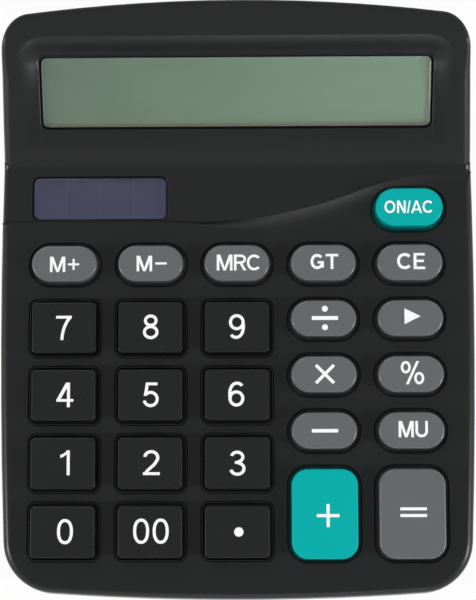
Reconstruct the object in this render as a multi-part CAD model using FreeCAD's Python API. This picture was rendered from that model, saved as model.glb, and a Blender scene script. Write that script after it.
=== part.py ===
import FreeCAD, Part
import math
import os

V = FreeCAD.Vector

# Desktop calculator. Millimetres, +X to the right, +Y away from the user, +Z up.
# The origin is on the table, below the middle of the case.

# Case outline, seen from above at the height of the parting line
case_length = 144.0
case_width = 119.1
front_arc_radius = 675.0
rear_arc_radius = 490.0
side_arc_radius = 1500.0
side_bulge_y = 5.0
front_corner_radius = 12.9
rear_corner_radius = 8.5
wall_draft = 1.5

# Side profile of the upper case
front_height = 12.5
keypad_angle = 5.0
valley_depth = 1.2
face_angle = 35.0
head_depth = 37.1
face_foot_y = case_length / 2 - head_depth
keypad_middle_y = 1.28
face_blend_radius = 5.0
edge_round = 1.3
plateau_round = 1.1
round_bands = 3

# Skins and walls
side_wall = 2.0
valley_skin = 1.6
face_skin = 2.0
screen_skin = 1.8
window_ledge = 0.8

# Sunk display bezel and its window
screen_angle = 28.5
screen_foot = 5.1
screen_foot_y = face_foot_y + screen_foot
window_side = 11.15
window_width = case_width - 2 * window_side
window_front = 4.9
window_rear = 9.7
window_height = head_depth - screen_foot - window_front - window_rear
screen_centre_up = window_front + window_height / 2
window_corner = 1.3
window_overlap = 1.6
window_gap = 0.05
bezel_margin = 0.6
bezel_flare = 51.0
bezel_cut_height = 8.0
bezel_run_out = 4.0

# Lower case
foot_stand = 1.5
base_skin = 2.0
lower_wall = 2.4
parting_front_z = 6.5
parting_angle = 2.5
parting_inset = 0.6
lower_draft = 5.0
base_chamfer = 1.0
lip_gap = 0.15
lip_thickness = 1.0
lip_height = 1.2
lip_root = 2.0
rib_thickness = 1.2
rib_height = 1.4
rib_pitch = 25.0
rib_xs = (-rib_pitch, 0.0, rib_pitch)
rib_front = 28.0
rib_front_y = rib_front - case_length / 2
rib_rear = 32.0
rib_rear_y = case_length / 2 - rib_rear
rib_end = 14.0
rib_bay_end = 30.0
rib_ys = (rib_front_y + rib_end, rib_rear_y - rib_bay_end)
rib_side = 9.55
rib_half_width = case_width / 2 - rib_side

# Keys: how far they stand up and travel, and what holds them
key_rise = 3.2
key_travel = 1.2
key_clearance = 0.45
key_bevel = 0.4
key_wall = 1.3
key_roof = 1.3
key_corner_share = 0.3
flange_lip = 0.7
flange_thickness = 0.9
flange_gap = 0.1
plunger_size = 3.0
plunger_drop = 0.8

# Key grid, in the keypad's own plane. Each key is a column wide, less its gap to the next one
keypad_side = 16.55
column_pitch = (case_width / 2 - keypad_side) / 2
keypad_front = 8.2
keypad_front_y = keypad_front - case_length / 2
keypad_rear = 2.1
keypad_rear_y = face_foot_y - keypad_rear
memory_row = 23.5
memory_row_y = keypad_rear_y - memory_row
seven_row = 16.0
seven_row_y = memory_row_y - seven_row
zero_row = 6.7
digit_row_pitch = (seven_row_y - keypad_front_y - zero_row) / 3
tall_row_gap = 11.6
tall_height = 2 * digit_row_pitch - tall_row_gap
tall_row_y = keypad_front_y + tall_height / 2
last_oval = 9.4
oval_row_pitch = (memory_row_y - keypad_front_y - tall_height - last_oval) / 3
oval_gap = 5.3
oval_width = column_pitch - oval_gap
oval_row_gap = 4.9
oval_height = oval_row_pitch - oval_row_gap
power_row = 9.6
power_y = keypad_rear_y - power_row
power_gap = 4.8
power_width = column_pitch - power_gap
power_height = 9.5
digit_gap = 5.6
digit_width = column_pitch - digit_gap
digit_row_gap = 4.2
digit_height = digit_row_pitch - digit_row_gap
digit_corner = 1.5
tall_gap = 5.2
tall_width = column_pitch - tall_gap
tall_corner = 4.0

# Wave that parts the raised keypad from the valley: its run from front to rear, in the keypad's plane
wave_rise = 12.5
wave_high_y = keypad_rear_y
wave_low_y = wave_high_y - wave_rise

# Solar cell in the valley
solar_side = 24.95
solar_x = solar_side - case_width / 2
solar_front = 6.1
solar_y = wave_low_y + solar_front
solar_width = 33.4
solar_height = 10.5
solar_corner = 1.3
solar_ledge = 0.7
solar_overlap = 1.1
solar_gap = 0.05
solar_glass = 1.1
solar_pad_length = 26.0
solar_pad_width = 6.0
solar_pad_front = 1.9
solar_pad_y = solar_y - solar_pad_front
solar_lead_width = 0.5
solar_lead_pitch = 3.0
solar_lead_side = 14.1
solar_lead_x = solar_x + solar_lead_side

# The wave's run across the case, from beside the solar cell to behind the power key
wave_start = 7.9
wave_start_x = solar_x + solar_width / 2 + wave_start
wave_middle = 13.0
wave_middle_x = 2 * column_pitch - wave_middle
wave_end = 2.55
wave_end_x = case_width / 2 - wave_end

# Rubber keypad and main board
dome_gap = 0.05
dome_left = 0.5
dome_height = key_travel + dome_left
dome_top = 4.0
dome_base = 6.4
sheet_thickness = 0.8
board_thickness = 1.6
board_side = 7.75
board_half_width = case_width / 2 - board_side
board_front = 1.3
board_front_y = keypad_front_y + board_front
board_rear = 4.6
board_rear_y = solar_y + board_rear
board_post_x = 1.5 * column_pitch
board_post_front = 6.8
board_post_rear = 7.6
board_post_ys = (keypad_front_y + board_post_front, memory_row_y + board_post_rear)
board_post = 3.2
board_post_gap = 0.3
stake_pin = 1.6
stake_head = 2.8
stake_height = 0.8
stake_gap = 0.1
sheet_inset = 0.4
sheet_half_width = board_half_width - sheet_inset
sheet_front = 0.5
sheet_front_y = board_front_y + sheet_front
sheet_rear = 10.7
sheet_rear_y = memory_row_y + sheet_rear
sheet_lobe_side = 9.4
sheet_lobe_x = 2 * column_pitch - sheet_lobe_side
sheet_lobe_rear = 4.4
sheet_lobe_y = power_y + sheet_lobe_rear
dome_wall = 0.8
dome_roof = 0.8
chip_size = 12.0
chip_top_size = 8.0
chip_height = 1.2
chip_rear = 9.0
chip_y = board_rear_y - chip_rear
capacitor_diameter = 5.0
capacitor_length = 3.6
capacitor_x = 22.0
capacitor_y = chip_y

# Liquid crystal panel, its holder and its flat ribbon
panel_side = 1.2
panel_up = 2.2
panel_down = 3.4
panel_thickness = 2.6
panel_gap = 0.1
holder_wall = 1.2
holder_back = 1.4
holder_clear = 0.15
holder_rim = 3.0
holder_down = 0.4
ribbon_thickness = 0.2
ribbon_side = 6.4
ribbon_width = window_width - 2 * ribbon_side
ribbon_bond = 2.4
ribbon_inset = 0.2

# Case screws and their bosses
case_screw_front = 6.5
case_screw_side = 5.65
case_screw_rear = 32.0
case_screw_spots = (
    (board_post_x, case_screw_front - case_length / 2),
    (case_width / 2 - case_screw_side, case_length / 2 - case_screw_rear),
)
case_post = 3.7
case_post_gap = 0.1
case_post_hole = 2.0
case_screw_shank = 1.9
case_screw_head = 4.0
case_screw_head_height = 1.4
case_screw_grip = 4.2
hole_extra = 0.4
gusset = 1.2
gusset_low = 8.4
tower_size = 6.4
tower_top = 6.5
tower_hole = 2.2
counterbore_diameter = 4.4
counterbore_top = 4.6

# Battery bay, cell, contacts and sliding door
cell_diameter = 14.2
cell_length = 49.2
cell_nub_diameter = 5.5
cell_nub_length = 1.3
bay_behind = 13.4
bay_centre_y = case_length / 2 - bay_behind
bay_wall = 1.6
bay_length = 57.0
cell_side_gap = 0.6
cell_floor_gap = 0.3
cell_roof_gap = 0.4
contact_thickness = 0.4
contact_width = 9.0
contact_height = 10.0
contact_gap = 0.05
contact_hole = 2.0
spring_flat = 2.0
spring_foot = 2.0
door_width = 60.0
door_ahead = 11.6
door_front_y = bay_centre_y - door_ahead
door_thickness = 1.6
door_gap = 0.25
door_tongue = 1.2
door_tongue_thickness = 0.8
door_rail_cover = 1.4
door_rail_clear = 0.15
grip_ridges = 5
grip_pitch = 1.8
grip_length = 16.0
grip_depth = 0.4

# Rubber feet
foot_diameter = 10.0
foot_side = 13.55
foot_front = 17.0
foot_rear = 15.0
foot_x = case_width / 2 - foot_side
foot_spots = ((foot_x, foot_front - case_length / 2), (foot_x, case_length / 2 - foot_rear))

# Insulated wires
wire_diameter = 1.0
wire_sides = 6
wire_end_x = 34.0
wire_end = 5.0
wire_end_y = board_rear_y - wire_end
wire_rise = 5.0
wire_out = 4.5
wire_bend_share = 0.45

# Working sizes: blocks tall enough to hold the case, and how far cuts and joints overrun
reach = 200.0
case_block_top = 60.0
tray_block_top = 30.0
past = 1.0
root = 0.5
near = 0.01


def rad(degrees):
    return math.radians(degrees)


def line_meet(p, a, q, b):
    """Point in the side view where two lines cross, each a point and an angle in degrees."""
    ca, sa, cb, sb = math.cos(rad(a)), math.sin(rad(a)), math.cos(rad(b)), math.sin(rad(b))
    t = ((q[0] - p[0]) * sb - (q[1] - p[1]) * cb) / (ca * sb - sa * cb)
    return (p[0] + t * ca, p[1] + t * sa)


def below(p, a, depth):
    """Point moved square to a line of the given angle, downwards."""
    return (p[0] + depth * math.sin(rad(a)), p[1] - depth * math.cos(rad(a)))


def placed(shape, frame):
    moved = shape.copy()
    moved.Placement = frame.multiply(moved.Placement)
    return moved


def box(x0, x1, y0, y1, z0, z1):
    return Part.makeBox(x1 - x0, y1 - y0, z1 - z0, V(x0, y0, z0))


def rounded_wire(width, height, radius, z):
    """Rounded rectangle about the origin. A radius of half the height makes an oval."""
    w, h, r = width / 2, height / 2, radius
    corners = ((w - r, h - r, 0), (r - w, h - r, 90), (r - w, r - h, 180), (w - r, r - h, 270))
    edges = []
    for i, (cx, cy, start) in enumerate(corners):
        points = [
            V(cx + r * math.cos(rad(start + a)), cy + r * math.sin(rad(start + a)), z)
            for a in (0, 45, 90)
        ]
        edges.append(Part.Arc(*points).toShape())
        nx, ny, turn = corners[(i + 1) % 4]
        far = V(nx + r * math.cos(rad(turn)), ny + r * math.sin(rad(turn)), z)
        if far.distanceToPoint(points[2]) > near:
            edges.append(Part.LineSegment(points[2], far).toShape())
    return Part.Wire(edges)


def rounded_block(width, height, radius, z0, z1):
    return Part.Face(rounded_wire(width, height, radius, z0)).extrude(V(0, 0, z1 - z0))


def rod(diameter, x, y, z0, z1):
    shape = rounded_block(diameter, diameter, diameter / 2, z0, z1)
    shape.translate(V(x, y, 0))
    return shape


def side_profile(corners, half_width):
    """Block across the case from side-view corners (y, z, radius)."""
    edges = []
    count = len(corners)
    starts, ends, arcs = [], [], []
    for i, (y, z, r) in enumerate(corners):
        here = V(0, y, z)
        back = V(0, *corners[i - 1][:2]) - here
        ahead = V(0, *corners[(i + 1) % count][:2]) - here
        back.normalize()
        ahead.normalize()
        if r == 0:
            starts.append(here)
            ends.append(here)
            arcs.append(None)
            continue
        half = back.getAngle(ahead) / 2
        run = r / math.tan(half)
        bisector = back + ahead
        bisector.normalize()
        starts.append(here + back * run)
        ends.append(here + ahead * run)
        middle = here + bisector * (r / math.sin(half) - r)
        arcs.append(Part.Arc(starts[-1], middle, ends[-1]).toShape())
    for i in range(count):
        if arcs[i] is not None:
            edges.append(arcs[i])
        edges.append(Part.LineSegment(ends[i], starts[(i + 1) % count]).toShape())
    face = Part.Face(Part.Wire(edges))
    face.translate(V(-half_width, 0, 0))
    return face.extrude(V(2 * half_width, 0, 0))


# Frames and lines of the side view

keypad_rise = (keypad_middle_y + case_length / 2) * math.tan(rad(keypad_angle))
keypad_origin = V(0, keypad_middle_y, front_height + keypad_rise)
keypad_frame = FreeCAD.Placement(keypad_origin, FreeCAD.Rotation(V(1, 0, 0), keypad_angle))
keypad_line = (keypad_origin.y, keypad_origin.z)
valley_line = below(keypad_line, keypad_angle, valley_depth)
valley_slope = math.tan(rad(keypad_angle))
face_line = (face_foot_y, valley_line[1] + (face_foot_y - valley_line[0]) * valley_slope)
screen_foot_z = face_line[1] + (screen_foot_y - face_foot_y) * math.tan(rad(face_angle))
screen_line = (screen_foot_y, screen_foot_z)
screen_origin = V(
    0,
    screen_foot_y + screen_centre_up * math.cos(rad(screen_angle)),
    screen_foot_z + screen_centre_up * math.sin(rad(screen_angle)),
)
screen_frame = FreeCAD.Placement(screen_origin, FreeCAD.Rotation(V(1, 0, 0), screen_angle))
parting_line = (-case_length / 2, parting_front_z)
base_z = foot_stand
floor_z = base_z + base_skin

# Heights in the keypad's frame, where the raised keypad's surface is 0
case_under = -(valley_depth + valley_skin)
flange_top = case_under - flange_gap
flange_bottom = flange_top - flange_thickness
plunger_bottom = flange_bottom - plunger_drop
dome_top_z = plunger_bottom - dome_gap
sheet_top = dome_top_z - dome_height
board_top = sheet_top - sheet_thickness
board_bottom = board_top - board_thickness

solar_top = -(valley_depth + solar_ledge)
solar_back = case_under - solar_gap - solar_glass

# Heights in the screen's frame, where the sunk bezel's surface is 0, and the panel's edges
window_top = -window_ledge - window_gap
panel_top = -screen_skin - panel_gap
panel_bottom = panel_top - panel_thickness
panel_half = window_width / 2 + panel_side
panel_low = -window_height / 2 - panel_down
panel_high = window_height / 2 + panel_up

# Heights and edges of the battery bay, from the door's upper side
door_top = base_z + door_thickness
deck_z = door_top + door_rail_clear
groove_low = door_top - door_tongue_thickness - door_rail_clear
cell_z = door_top + cell_floor_gap + cell_diameter / 2
bay_roof = cell_z + cell_diameter / 2 + cell_roof_gap
bay_front = bay_centre_y - cell_diameter / 2 - cell_side_gap
bay_rear = bay_centre_y + cell_diameter / 2 + cell_side_gap
bay_half = bay_length / 2
nub_end = bay_half - contact_thickness - contact_gap
cell_end = nub_end - cell_nub_length
cell_start = cell_end - cell_length

# Lower end of the screw posts, and the middle height of the parting plane
post_low = tower_top + case_post_gap
parting_datum = parting_front_z + case_length / 2 * math.tan(rad(parting_angle))


def circles_meet(c1, r1, c2, r2):
    """Meeting point of two circles that lies furthest to the right."""
    dx, dy = c2[0] - c1[0], c2[1] - c1[1]
    d = math.hypot(dx, dy)
    along = (r1 * r1 - r2 * r2 + d * d) / (2 * d)
    off = math.sqrt(r1 * r1 - along * along)
    mx, my = c1[0] + along * dx / d, c1[1] + along * dy / d
    pair = [(mx - off * dy / d, my + off * dx / d), (mx + off * dy / d, my - off * dx / d)]
    return max(pair)


def outline_wire(inset, z):
    """Case outline moved inwards: four gentle arcs joined by four corner arcs."""
    side_c = (case_width / 2 - side_arc_radius, side_bulge_y)
    front_c = (0.0, front_arc_radius - case_length / 2)
    rear_c = (0.0, case_length / 2 - rear_arc_radius)

    def tangent(centre, radius, corner):
        dx, dy = corner[0] - centre[0], corner[1] - centre[1]
        k = (radius - inset) / math.hypot(dx, dy)
        return (centre[0] + k * dx, centre[1] + k * dy)

    def corner_arc(centre, start, end):
        mx = (start[0] + end[0]) / 2 - centre[0]
        my = (start[1] + end[1]) / 2 - centre[1]
        k = math.hypot(start[0] - centre[0], start[1] - centre[1]) / math.hypot(mx, my)
        return (centre[0] + k * mx, centre[1] + k * my)

    r, s = front_corner_radius, rear_corner_radius
    front_corner = circles_meet(side_c, side_arc_radius - r, front_c, front_arc_radius - r)
    rear_corner = circles_meet(side_c, side_arc_radius - s, rear_c, rear_arc_radius - s)
    a = tangent(front_c, front_arc_radius, front_corner)
    b = tangent(side_c, side_arc_radius, front_corner)
    c = tangent(side_c, side_arc_radius, rear_corner)
    d = tangent(rear_c, rear_arc_radius, rear_corner)
    ab = corner_arc(front_corner, a, b)
    cd = corner_arc(rear_corner, c, d)
    bc = (case_width / 2 - inset, side_bulge_y)
    front = (0.0, inset - case_length / 2)
    rear = (0.0, case_length / 2 - inset)

    def flip(p):
        return (-p[0], p[1])

    spans = (
        (flip(a), front, a),
        (a, ab, b),
        (b, bc, c),
        (c, cd, d),
        (d, rear, flip(d)),
        (flip(d), flip(cd), flip(c)),
        (flip(c), flip(bc), flip(b)),
        (flip(b), flip(ab), flip(a)),
    )
    return Part.Wire([Part.Arc(*[V(x, y, z) for x, y in span]).toShape() for span in spans])


def drafted_block(inset, z0, z1, draft, datum_z):
    """Block inside the case outline, drawn in by the draft as it rises from the datum."""
    lean = math.tan(rad(draft))
    wires = [outline_wire(inset + (z - datum_z) * lean, z) for z in (z0, z1)]
    return Part.makeLoft(wires, True, True)


def upper_block(inset):
    return drafted_block(inset, 0, case_block_top, wall_draft, parting_datum)


def lower_block(inset, low):
    return drafted_block(inset, low, tray_block_top, -lower_draft, parting_datum)


def above_parting(depth=0.0):
    """Everything above the parting plane, or above a plane that much lower."""
    corner = V(0, parting_line[0], parting_line[1] - depth)
    frame = FreeCAD.Placement(corner, FreeCAD.Rotation(V(1, 0, 0), parting_angle))
    return placed(box(-reach, reach, -reach, 2 * reach, 0, reach), frame)


def wave_edges(z):
    """Wave line from right to left: flat, two tangent arcs, flat."""
    rise = wave_high_y - wave_low_y
    first = (wave_middle_x - wave_start_x) / (wave_end_x - wave_start_x)
    middle_y = wave_low_y + rise * first
    bend1 = 2 * math.atan((middle_y - wave_low_y) / (wave_middle_x - wave_start_x))
    r1 = (wave_middle_x - wave_start_x) / math.sin(bend1)
    r2 = (wave_end_x - wave_middle_x) / math.sin(bend1)
    quarter1 = V(
        wave_start_x + r1 * math.sin(bend1 / 2), wave_low_y + r1 * (1 - math.cos(bend1 / 2)), z
    )
    quarter2 = V(
        wave_end_x - r2 * math.sin(bend1 / 2), wave_high_y - r2 * (1 - math.cos(bend1 / 2)), z
    )
    right = V(reach, wave_high_y, z)
    end = V(wave_end_x, wave_high_y, z)
    middle = V(wave_middle_x, middle_y, z)
    start = V(wave_start_x, wave_low_y, z)
    left = V(-reach, wave_low_y, z)
    return [
        Part.LineSegment(right, end).toShape(),
        Part.Arc(end, quarter2, middle).toShape(),
        Part.Arc(middle, quarter1, start).toShape(),
        Part.LineSegment(start, left).toShape(),
    ]


def plateau_region(inset, z0, z1):
    """Plan of the raised keypad, up to the wave line moved forwards by the inset."""
    edges = wave_edges(z0)
    corners = [V(-reach, wave_low_y, z0), V(-reach, -reach, z0), V(reach, -reach, z0)]
    corners.append(V(reach, wave_high_y, z0))
    edges += [Part.LineSegment(p, q).toShape() for p, q in zip(corners, corners[1:])]
    region = Part.Face(Part.Wire(edges)).extrude(V(0, 0, z1 - z0))
    region.translate(V(0, -inset, 0))
    return placed(region, keypad_frame)


# Key table: name, column, row place, width, height, corner radius

def oval(name, column, row):
    y = memory_row_y - row * oval_row_pitch
    return (name, column * column_pitch, y, oval_width, oval_height, oval_height / 2)


def digit(name, column, row):
    y = seven_row_y - row * digit_row_pitch
    return (name, column * column_pitch, y, digit_width, digit_height, digit_corner)


def tall(name, column):
    return (name, column * column_pitch, tall_row_y, tall_width, tall_height, tall_corner)


keys = [
    ("key_on_clear", 2 * column_pitch, power_y, power_width, power_height, power_height / 2),
    oval("key_memory_plus", -2, 0),
    oval("key_memory_minus", -1, 0),
    oval("key_memory_recall", 0, 0),
    oval("key_grand_total", 1, 0),
    oval("key_clear_entry", 2, 0),
    oval("key_divide", 1, 1),
    oval("key_backspace", 2, 1),
    oval("key_multiply", 1, 2),
    oval("key_percent", 2, 2),
    oval("key_subtract", 1, 3),
    oval("key_mark_up", 2, 3),
    digit("key_7", -2, 0),
    digit("key_8", -1, 0),
    digit("key_9", 0, 0),
    digit("key_4", -2, 1),
    digit("key_5", -1, 1),
    digit("key_6", 0, 1),
    digit("key_1", -2, 2),
    digit("key_2", -1, 2),
    digit("key_3", 0, 2),
    digit("key_0", -2, 3),
    digit("key_00", -1, 3),
    digit("key_point", 0, 3),
    tall("key_add", 1),
    tall("key_equals", 2),
]


def at_key(shape, key):
    spot = FreeCAD.Placement(V(key[1], key[2], 0), FreeCAD.Rotation())
    return placed(shape, keypad_frame.multiply(spot))


def key_block(key, gap, z0, z1):
    """Key outline with a gap round it. The small corners of the digit keys are cut straight."""
    width, height, radius = key[3] + 2 * gap, key[4] + 2 * gap, key[5] + gap
    if key[5] > digit_corner:
        return rounded_block(width, height, radius, z0, z1)
    x, y, cut = width / 2, height / 2, radius * (2 - math.sqrt(2))
    quarter = [(x, y - cut), (x - cut, y), (cut - x, y), (-x, y - cut)]
    ring = [V(px, py, z0) for px, py in quarter] + [V(-px, -py, z0) for px, py in quarter]
    return Part.Face(Part.makePolygon(ring + ring[:1])).extrude(V(0, 0, z1 - z0))


def key_cap(key):
    """Hollow key: cap, flange that stops it under the case, and a plunger."""
    name, x, y, width, height, radius = key
    cap = key_block(key, 0, flange_top, key_rise)
    if radius == digit_corner:
        rim = [e for e in cap.Edges if e.BoundBox.ZMin > key_rise - near]
        cap = cap.makeChamfer(key_bevel, rim)
    lip_x, lip_y = width / 2 + flange_lip, height / 2 + flange_lip
    cap = cap.fuse(box(-lip_x, lip_x, -lip_y, lip_y, flange_bottom, flange_top))
    in_x, in_y = width / 2 - key_wall - radius * key_corner_share, height / 2 - key_wall
    cap = cap.cut(box(-in_x, in_x, -in_y, in_y, flange_bottom - past, key_rise - key_roof))
    half = plunger_size / 2
    cap = cap.fuse(box(-half, half, -half, half, plunger_bottom, key_rise - key_roof))
    return at_key(cap, key)


def key_well(key):
    """Opening for one key."""
    return at_key(key_block(key, key_clearance, case_under - past, past), key)


def under_plane(line, angle, depth):
    """Everything below a sloping plane across the case."""
    p = below(line, angle, depth)
    front, rear = line_meet(p, angle, (-reach, 0), 90), line_meet(p, angle, (reach, 0), 90)
    return side_profile([(*front, 0), (*rear, 0), (reach, -reach, 0), (-reach, -reach, 0)], reach)


def rounded_under(section, line, angle, radius):
    """Body below a sloping plane with its rim rounded in flat bands.

    section makes the body's walls for an inset, straight up past the plane.
    """
    normal = V(0, -math.sin(rad(angle)), math.cos(rad(angle)))
    wires = []
    for k in range(round_bands + 1):
        turn = rad(90 * k / round_bands)
        inset, depth = radius * (1 - math.cos(turn)), radius * (1 - math.sin(turn))
        at = V(0, *below(line, angle, depth))
        wires += section(inset).slice(normal, normal.dot(at))
    low = section(0).common(under_plane(line, angle, radius))
    return low.fuse(Part.makeLoft(wires, True, True))


def plateau_block(inset):
    return upper_block(inset).common(plateau_region(inset, -case_block_top, past))


def outer_form():
    """Outside of the upper case as one closed body, before it is hollowed."""
    valley = rounded_under(upper_block, valley_line, keypad_angle, edge_round)
    valley = valley.cut(plateau_region(0, -case_block_top, past))
    head = rounded_under(upper_block, face_line, face_angle, edge_round)
    plateau = rounded_under(plateau_block, keypad_line, keypad_angle, plateau_round)
    return valley.fuse([head, plateau, foot_blend()]).removeSplitter()


def foot_blend():
    """Concave rounding where the display face rises out of the valley."""
    span = 2 * face_blend_radius
    back = (face_line[0] + span, face_line[1] + span * math.tan(rad(face_angle)))
    front = (face_line[0] - span, face_line[1] - span * valley_slope)
    low = front[1] - span
    corners = [(*front, 0), (*face_line, face_blend_radius), (*back, 0)]
    corners += [(back[0], low, 0), (front[0], low, 0)]
    return upper_block(edge_round).common(side_profile(corners, reach))


def hollow():
    """Inside of the upper case, one skin in from its outer planes."""
    keypad_in = below(keypad_line, keypad_angle, -case_under)
    face_in = below(face_line, face_angle, face_skin)
    screen_in = below(screen_line, screen_angle, screen_skin)
    bevel_angle = screen_angle + 90 - bezel_flare
    bevel_foot = screen_frame.multVec(V(0, window_height / 2 + bezel_margin, 0))
    bevel_in = below((bevel_foot.y, bevel_foot.z), bevel_angle, face_skin)
    corners = [
        (*line_meet((-reach, 0), 90, keypad_in, keypad_angle), 0),
        (*line_meet(keypad_in, keypad_angle, face_in, face_angle), 0),
        (*line_meet(face_in, face_angle, screen_in, screen_angle), 0),
        (*line_meet(screen_in, screen_angle, bevel_in, bevel_angle), 0),
        (*line_meet(bevel_in, bevel_angle, face_in, face_angle), 0),
        (*line_meet(face_in, face_angle, (reach, 0), 90), 0),
        (reach, -reach, 0),
        (-reach, -reach, 0),
    ]
    return upper_block(side_wall).common(side_profile(corners, reach))


def bezel_cut():
    """Sunk frame of the window: flat on the screen plane, flared at its top and sides."""
    low = -screen_centre_up - bezel_run_out
    top = window_height / 2 + bezel_margin
    spread = bezel_cut_height * math.tan(rad(bezel_flare))
    width, height = window_width + 2 * bezel_margin, top - low
    foot = rounded_wire(width, height, window_corner, 0)
    rim = rounded_wire(
        width + 2 * spread, height + 2 * spread, window_corner + spread, bezel_cut_height
    )
    shape = Part.makeLoft([foot, rim], True, True)
    shape.translate(V(0, (low + top) / 2, 0))
    return placed(shape, screen_frame)


def both_sides(spots):
    return [(side * x, y) for x, y in spots for side in (-1, 1)]


def post(size, x, y, z0, z1):
    """Square upright post."""
    half = size / 2
    return box(x - half, x + half, y - half, y + half, z0, z1)


def case_posts():
    """Screw posts of the upper case, each tied to the nearest wall by a gusset."""
    posts, half = [], gusset / 2
    for x, y in both_sides(case_screw_spots):
        posts.append(post(case_post, x, y, post_low, reach))
        if abs(y) > abs(x):
            posts.append(box(x - half, x + half, -case_length / 2, y, gusset_low, reach))
        else:
            ends = sorted((x, math.copysign(case_width / 2, x)))
            posts.append(box(ends[0], ends[1], y - half, y + half, gusset_low, reach))
    return posts


def board_spots():
    return [(side * board_post_x, y) for y in board_post_ys for side in (-1, 1)]


def board_posts():
    """Posts that carry the board, each with a pin through it and a melted head."""
    posts = []
    head_low = board_bottom - stake_height
    for x, y in board_spots():
        stack = post(board_post, x, y, board_top, case_under + root)
        pin = post(stake_pin, x, y, head_low, board_top)
        head = post(stake_head, x, y, head_low, board_bottom)
        posts.append(placed(stack.fuse([pin, head]), keypad_frame))
    return posts


def top_case():
    """Upper case: moulded shell with key wells, sunk window bezel, solar recess and posts."""
    form = outer_form().common(above_parting())
    shell = form.cut(hollow()).cut(bezel_cut()).removeSplitter()
    inner = [form.common(p) for p in case_posts()] + board_posts()
    cuts = [key_well(key) for key in keys]
    for x, y in both_sides(case_screw_spots):
        cuts.append(post(case_post_hole, x, y, 0, post_low + case_screw_grip + hole_extra))
    seat_x = window_width / 2 + window_overlap
    seat_y = window_height / 2 + window_overlap
    seat = box(-seat_x, seat_x, -seat_y, seat_y, -2 * screen_skin, -window_ledge)
    opening = rounded_block(window_width, window_height, window_corner, -2 * screen_skin, past)
    cuts += [placed(opening, screen_frame), placed(seat, screen_frame)]
    cell = rounded_block(solar_width, solar_height, solar_corner, 2 * case_under, past)
    cell.translate(V(solar_x, solar_y, 0))
    recess = solar_plate(0, 2 * case_under, solar_top)
    cuts += [placed(cell, keypad_frame), placed(recess, keypad_frame)]
    return shell.fuse(inner).cut(cuts)


def solar_plate(gap, z0, z1):
    half_x = solar_width / 2 + solar_overlap - gap
    half_y = solar_height / 2 + solar_overlap - gap
    return box(solar_x - half_x, solar_x + half_x, solar_y - half_y, solar_y + half_y, z0, z1)


def solar_window():
    return placed(solar_plate(solar_gap, case_under, solar_top - solar_gap), keypad_frame)


def solar_cell():
    return placed(solar_plate(0, solar_back, case_under - solar_gap), keypad_frame)


def solar_pad():
    """Foam block that presses the cell up from the board."""
    half_x, half_y = solar_pad_length / 2, solar_pad_width / 2
    pad = box(-half_x, half_x, -half_y, half_y, board_top, solar_back)
    pad.translate(V(solar_x, solar_pad_y, 0))
    return placed(pad, keypad_frame)


def solar_leads():
    """Two short stiff leads from the cell down to the board."""
    leads = []
    for side in (-1, 1):
        y = solar_y + side * solar_lead_pitch / 2
        leads.append(post(solar_lead_width, solar_lead_x, y, board_top, solar_back))
    return placed(Part.makeCompound(leads), keypad_frame)


def display_window():
    half_x = window_width / 2 + window_overlap - window_gap
    half_y = window_height / 2 + window_overlap - window_gap
    return placed(box(-half_x, half_x, -half_y, half_y, -screen_skin, window_top), screen_frame)


def lcd_panel():
    """Glass sandwich: the rear glass runs lower and carries the contacts."""
    step = panel_thickness / 2
    ledge = panel_low + ribbon_bond
    rear = box(-panel_half, panel_half, panel_low, panel_high, panel_bottom, panel_bottom + step)
    front = box(-panel_half, panel_half, ledge, panel_high, panel_bottom + step, panel_top)
    return placed(rear.fuse(front).removeSplitter(), screen_frame)


def lcd_holder():
    """Three-sided frame behind the panel, open where the ribbon leaves."""
    low = -window_height / 2 - holder_down
    inner_x, inner_y = panel_half + holder_clear, panel_high + holder_clear
    back = panel_bottom - holder_clear
    outer_x = inner_x + holder_wall
    frame = box(-outer_x, outer_x, low, inner_y + holder_wall, back - holder_back, -screen_skin)
    frame = frame.cut(box(-inner_x, inner_x, low - past, inner_y, back, 0))
    view_x = panel_half - holder_rim
    view = box(-view_x, view_x, low + holder_rim, panel_high - holder_rim, back - reach, back + past)
    return placed(frame.cut(view), screen_frame)


def lcd_ribbon():
    """Flat ribbon bonded under the panel's contacts and on the board's rear edge."""
    board_end = board_rear_y - ribbon_inset
    on_board = [V(0, board_end - ribbon_bond, board_top), V(0, board_end, board_top)]
    on_panel = [V(0, panel_low, panel_bottom), V(0, panel_low + ribbon_bond, panel_bottom)]
    up, down = V(0, 0, ribbon_thickness), V(0, 0, -ribbon_thickness)
    under = [keypad_frame.multVec(p) for p in on_board]
    under += [screen_frame.multVec(p + down) for p in on_panel]
    over = [keypad_frame.multVec(p + up) for p in on_board]
    over += [screen_frame.multVec(p) for p in on_panel]
    face = Part.Face(Part.makePolygon(under + over[::-1] + under[:1]))
    face.translate(V(-ribbon_width / 2, 0, 0))
    return face.extrude(V(ribbon_width, 0, 0))


def main_board():
    half = board_half_width
    board = box(-half, half, board_front_y, board_rear_y, board_bottom, board_top)
    hole = stake_pin + 2 * stake_gap
    holes = [post(hole, x, y, board_bottom - past, board_top + past) for x, y in board_spots()]
    return placed(board.cut(holes), keypad_frame)


def frustum(base, top, z0, z1):
    """Square dome shape about the origin."""
    b, t = base / 2, top / 2
    shape = Part.makeWedge(-b, 0, -b, -t, -t, b, z1 - z0, b, t, t)
    shape.rotate(V(0, 0, 0), V(1, 0, 0), 90)
    shape.translate(V(0, 0, z0))
    return shape


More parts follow.
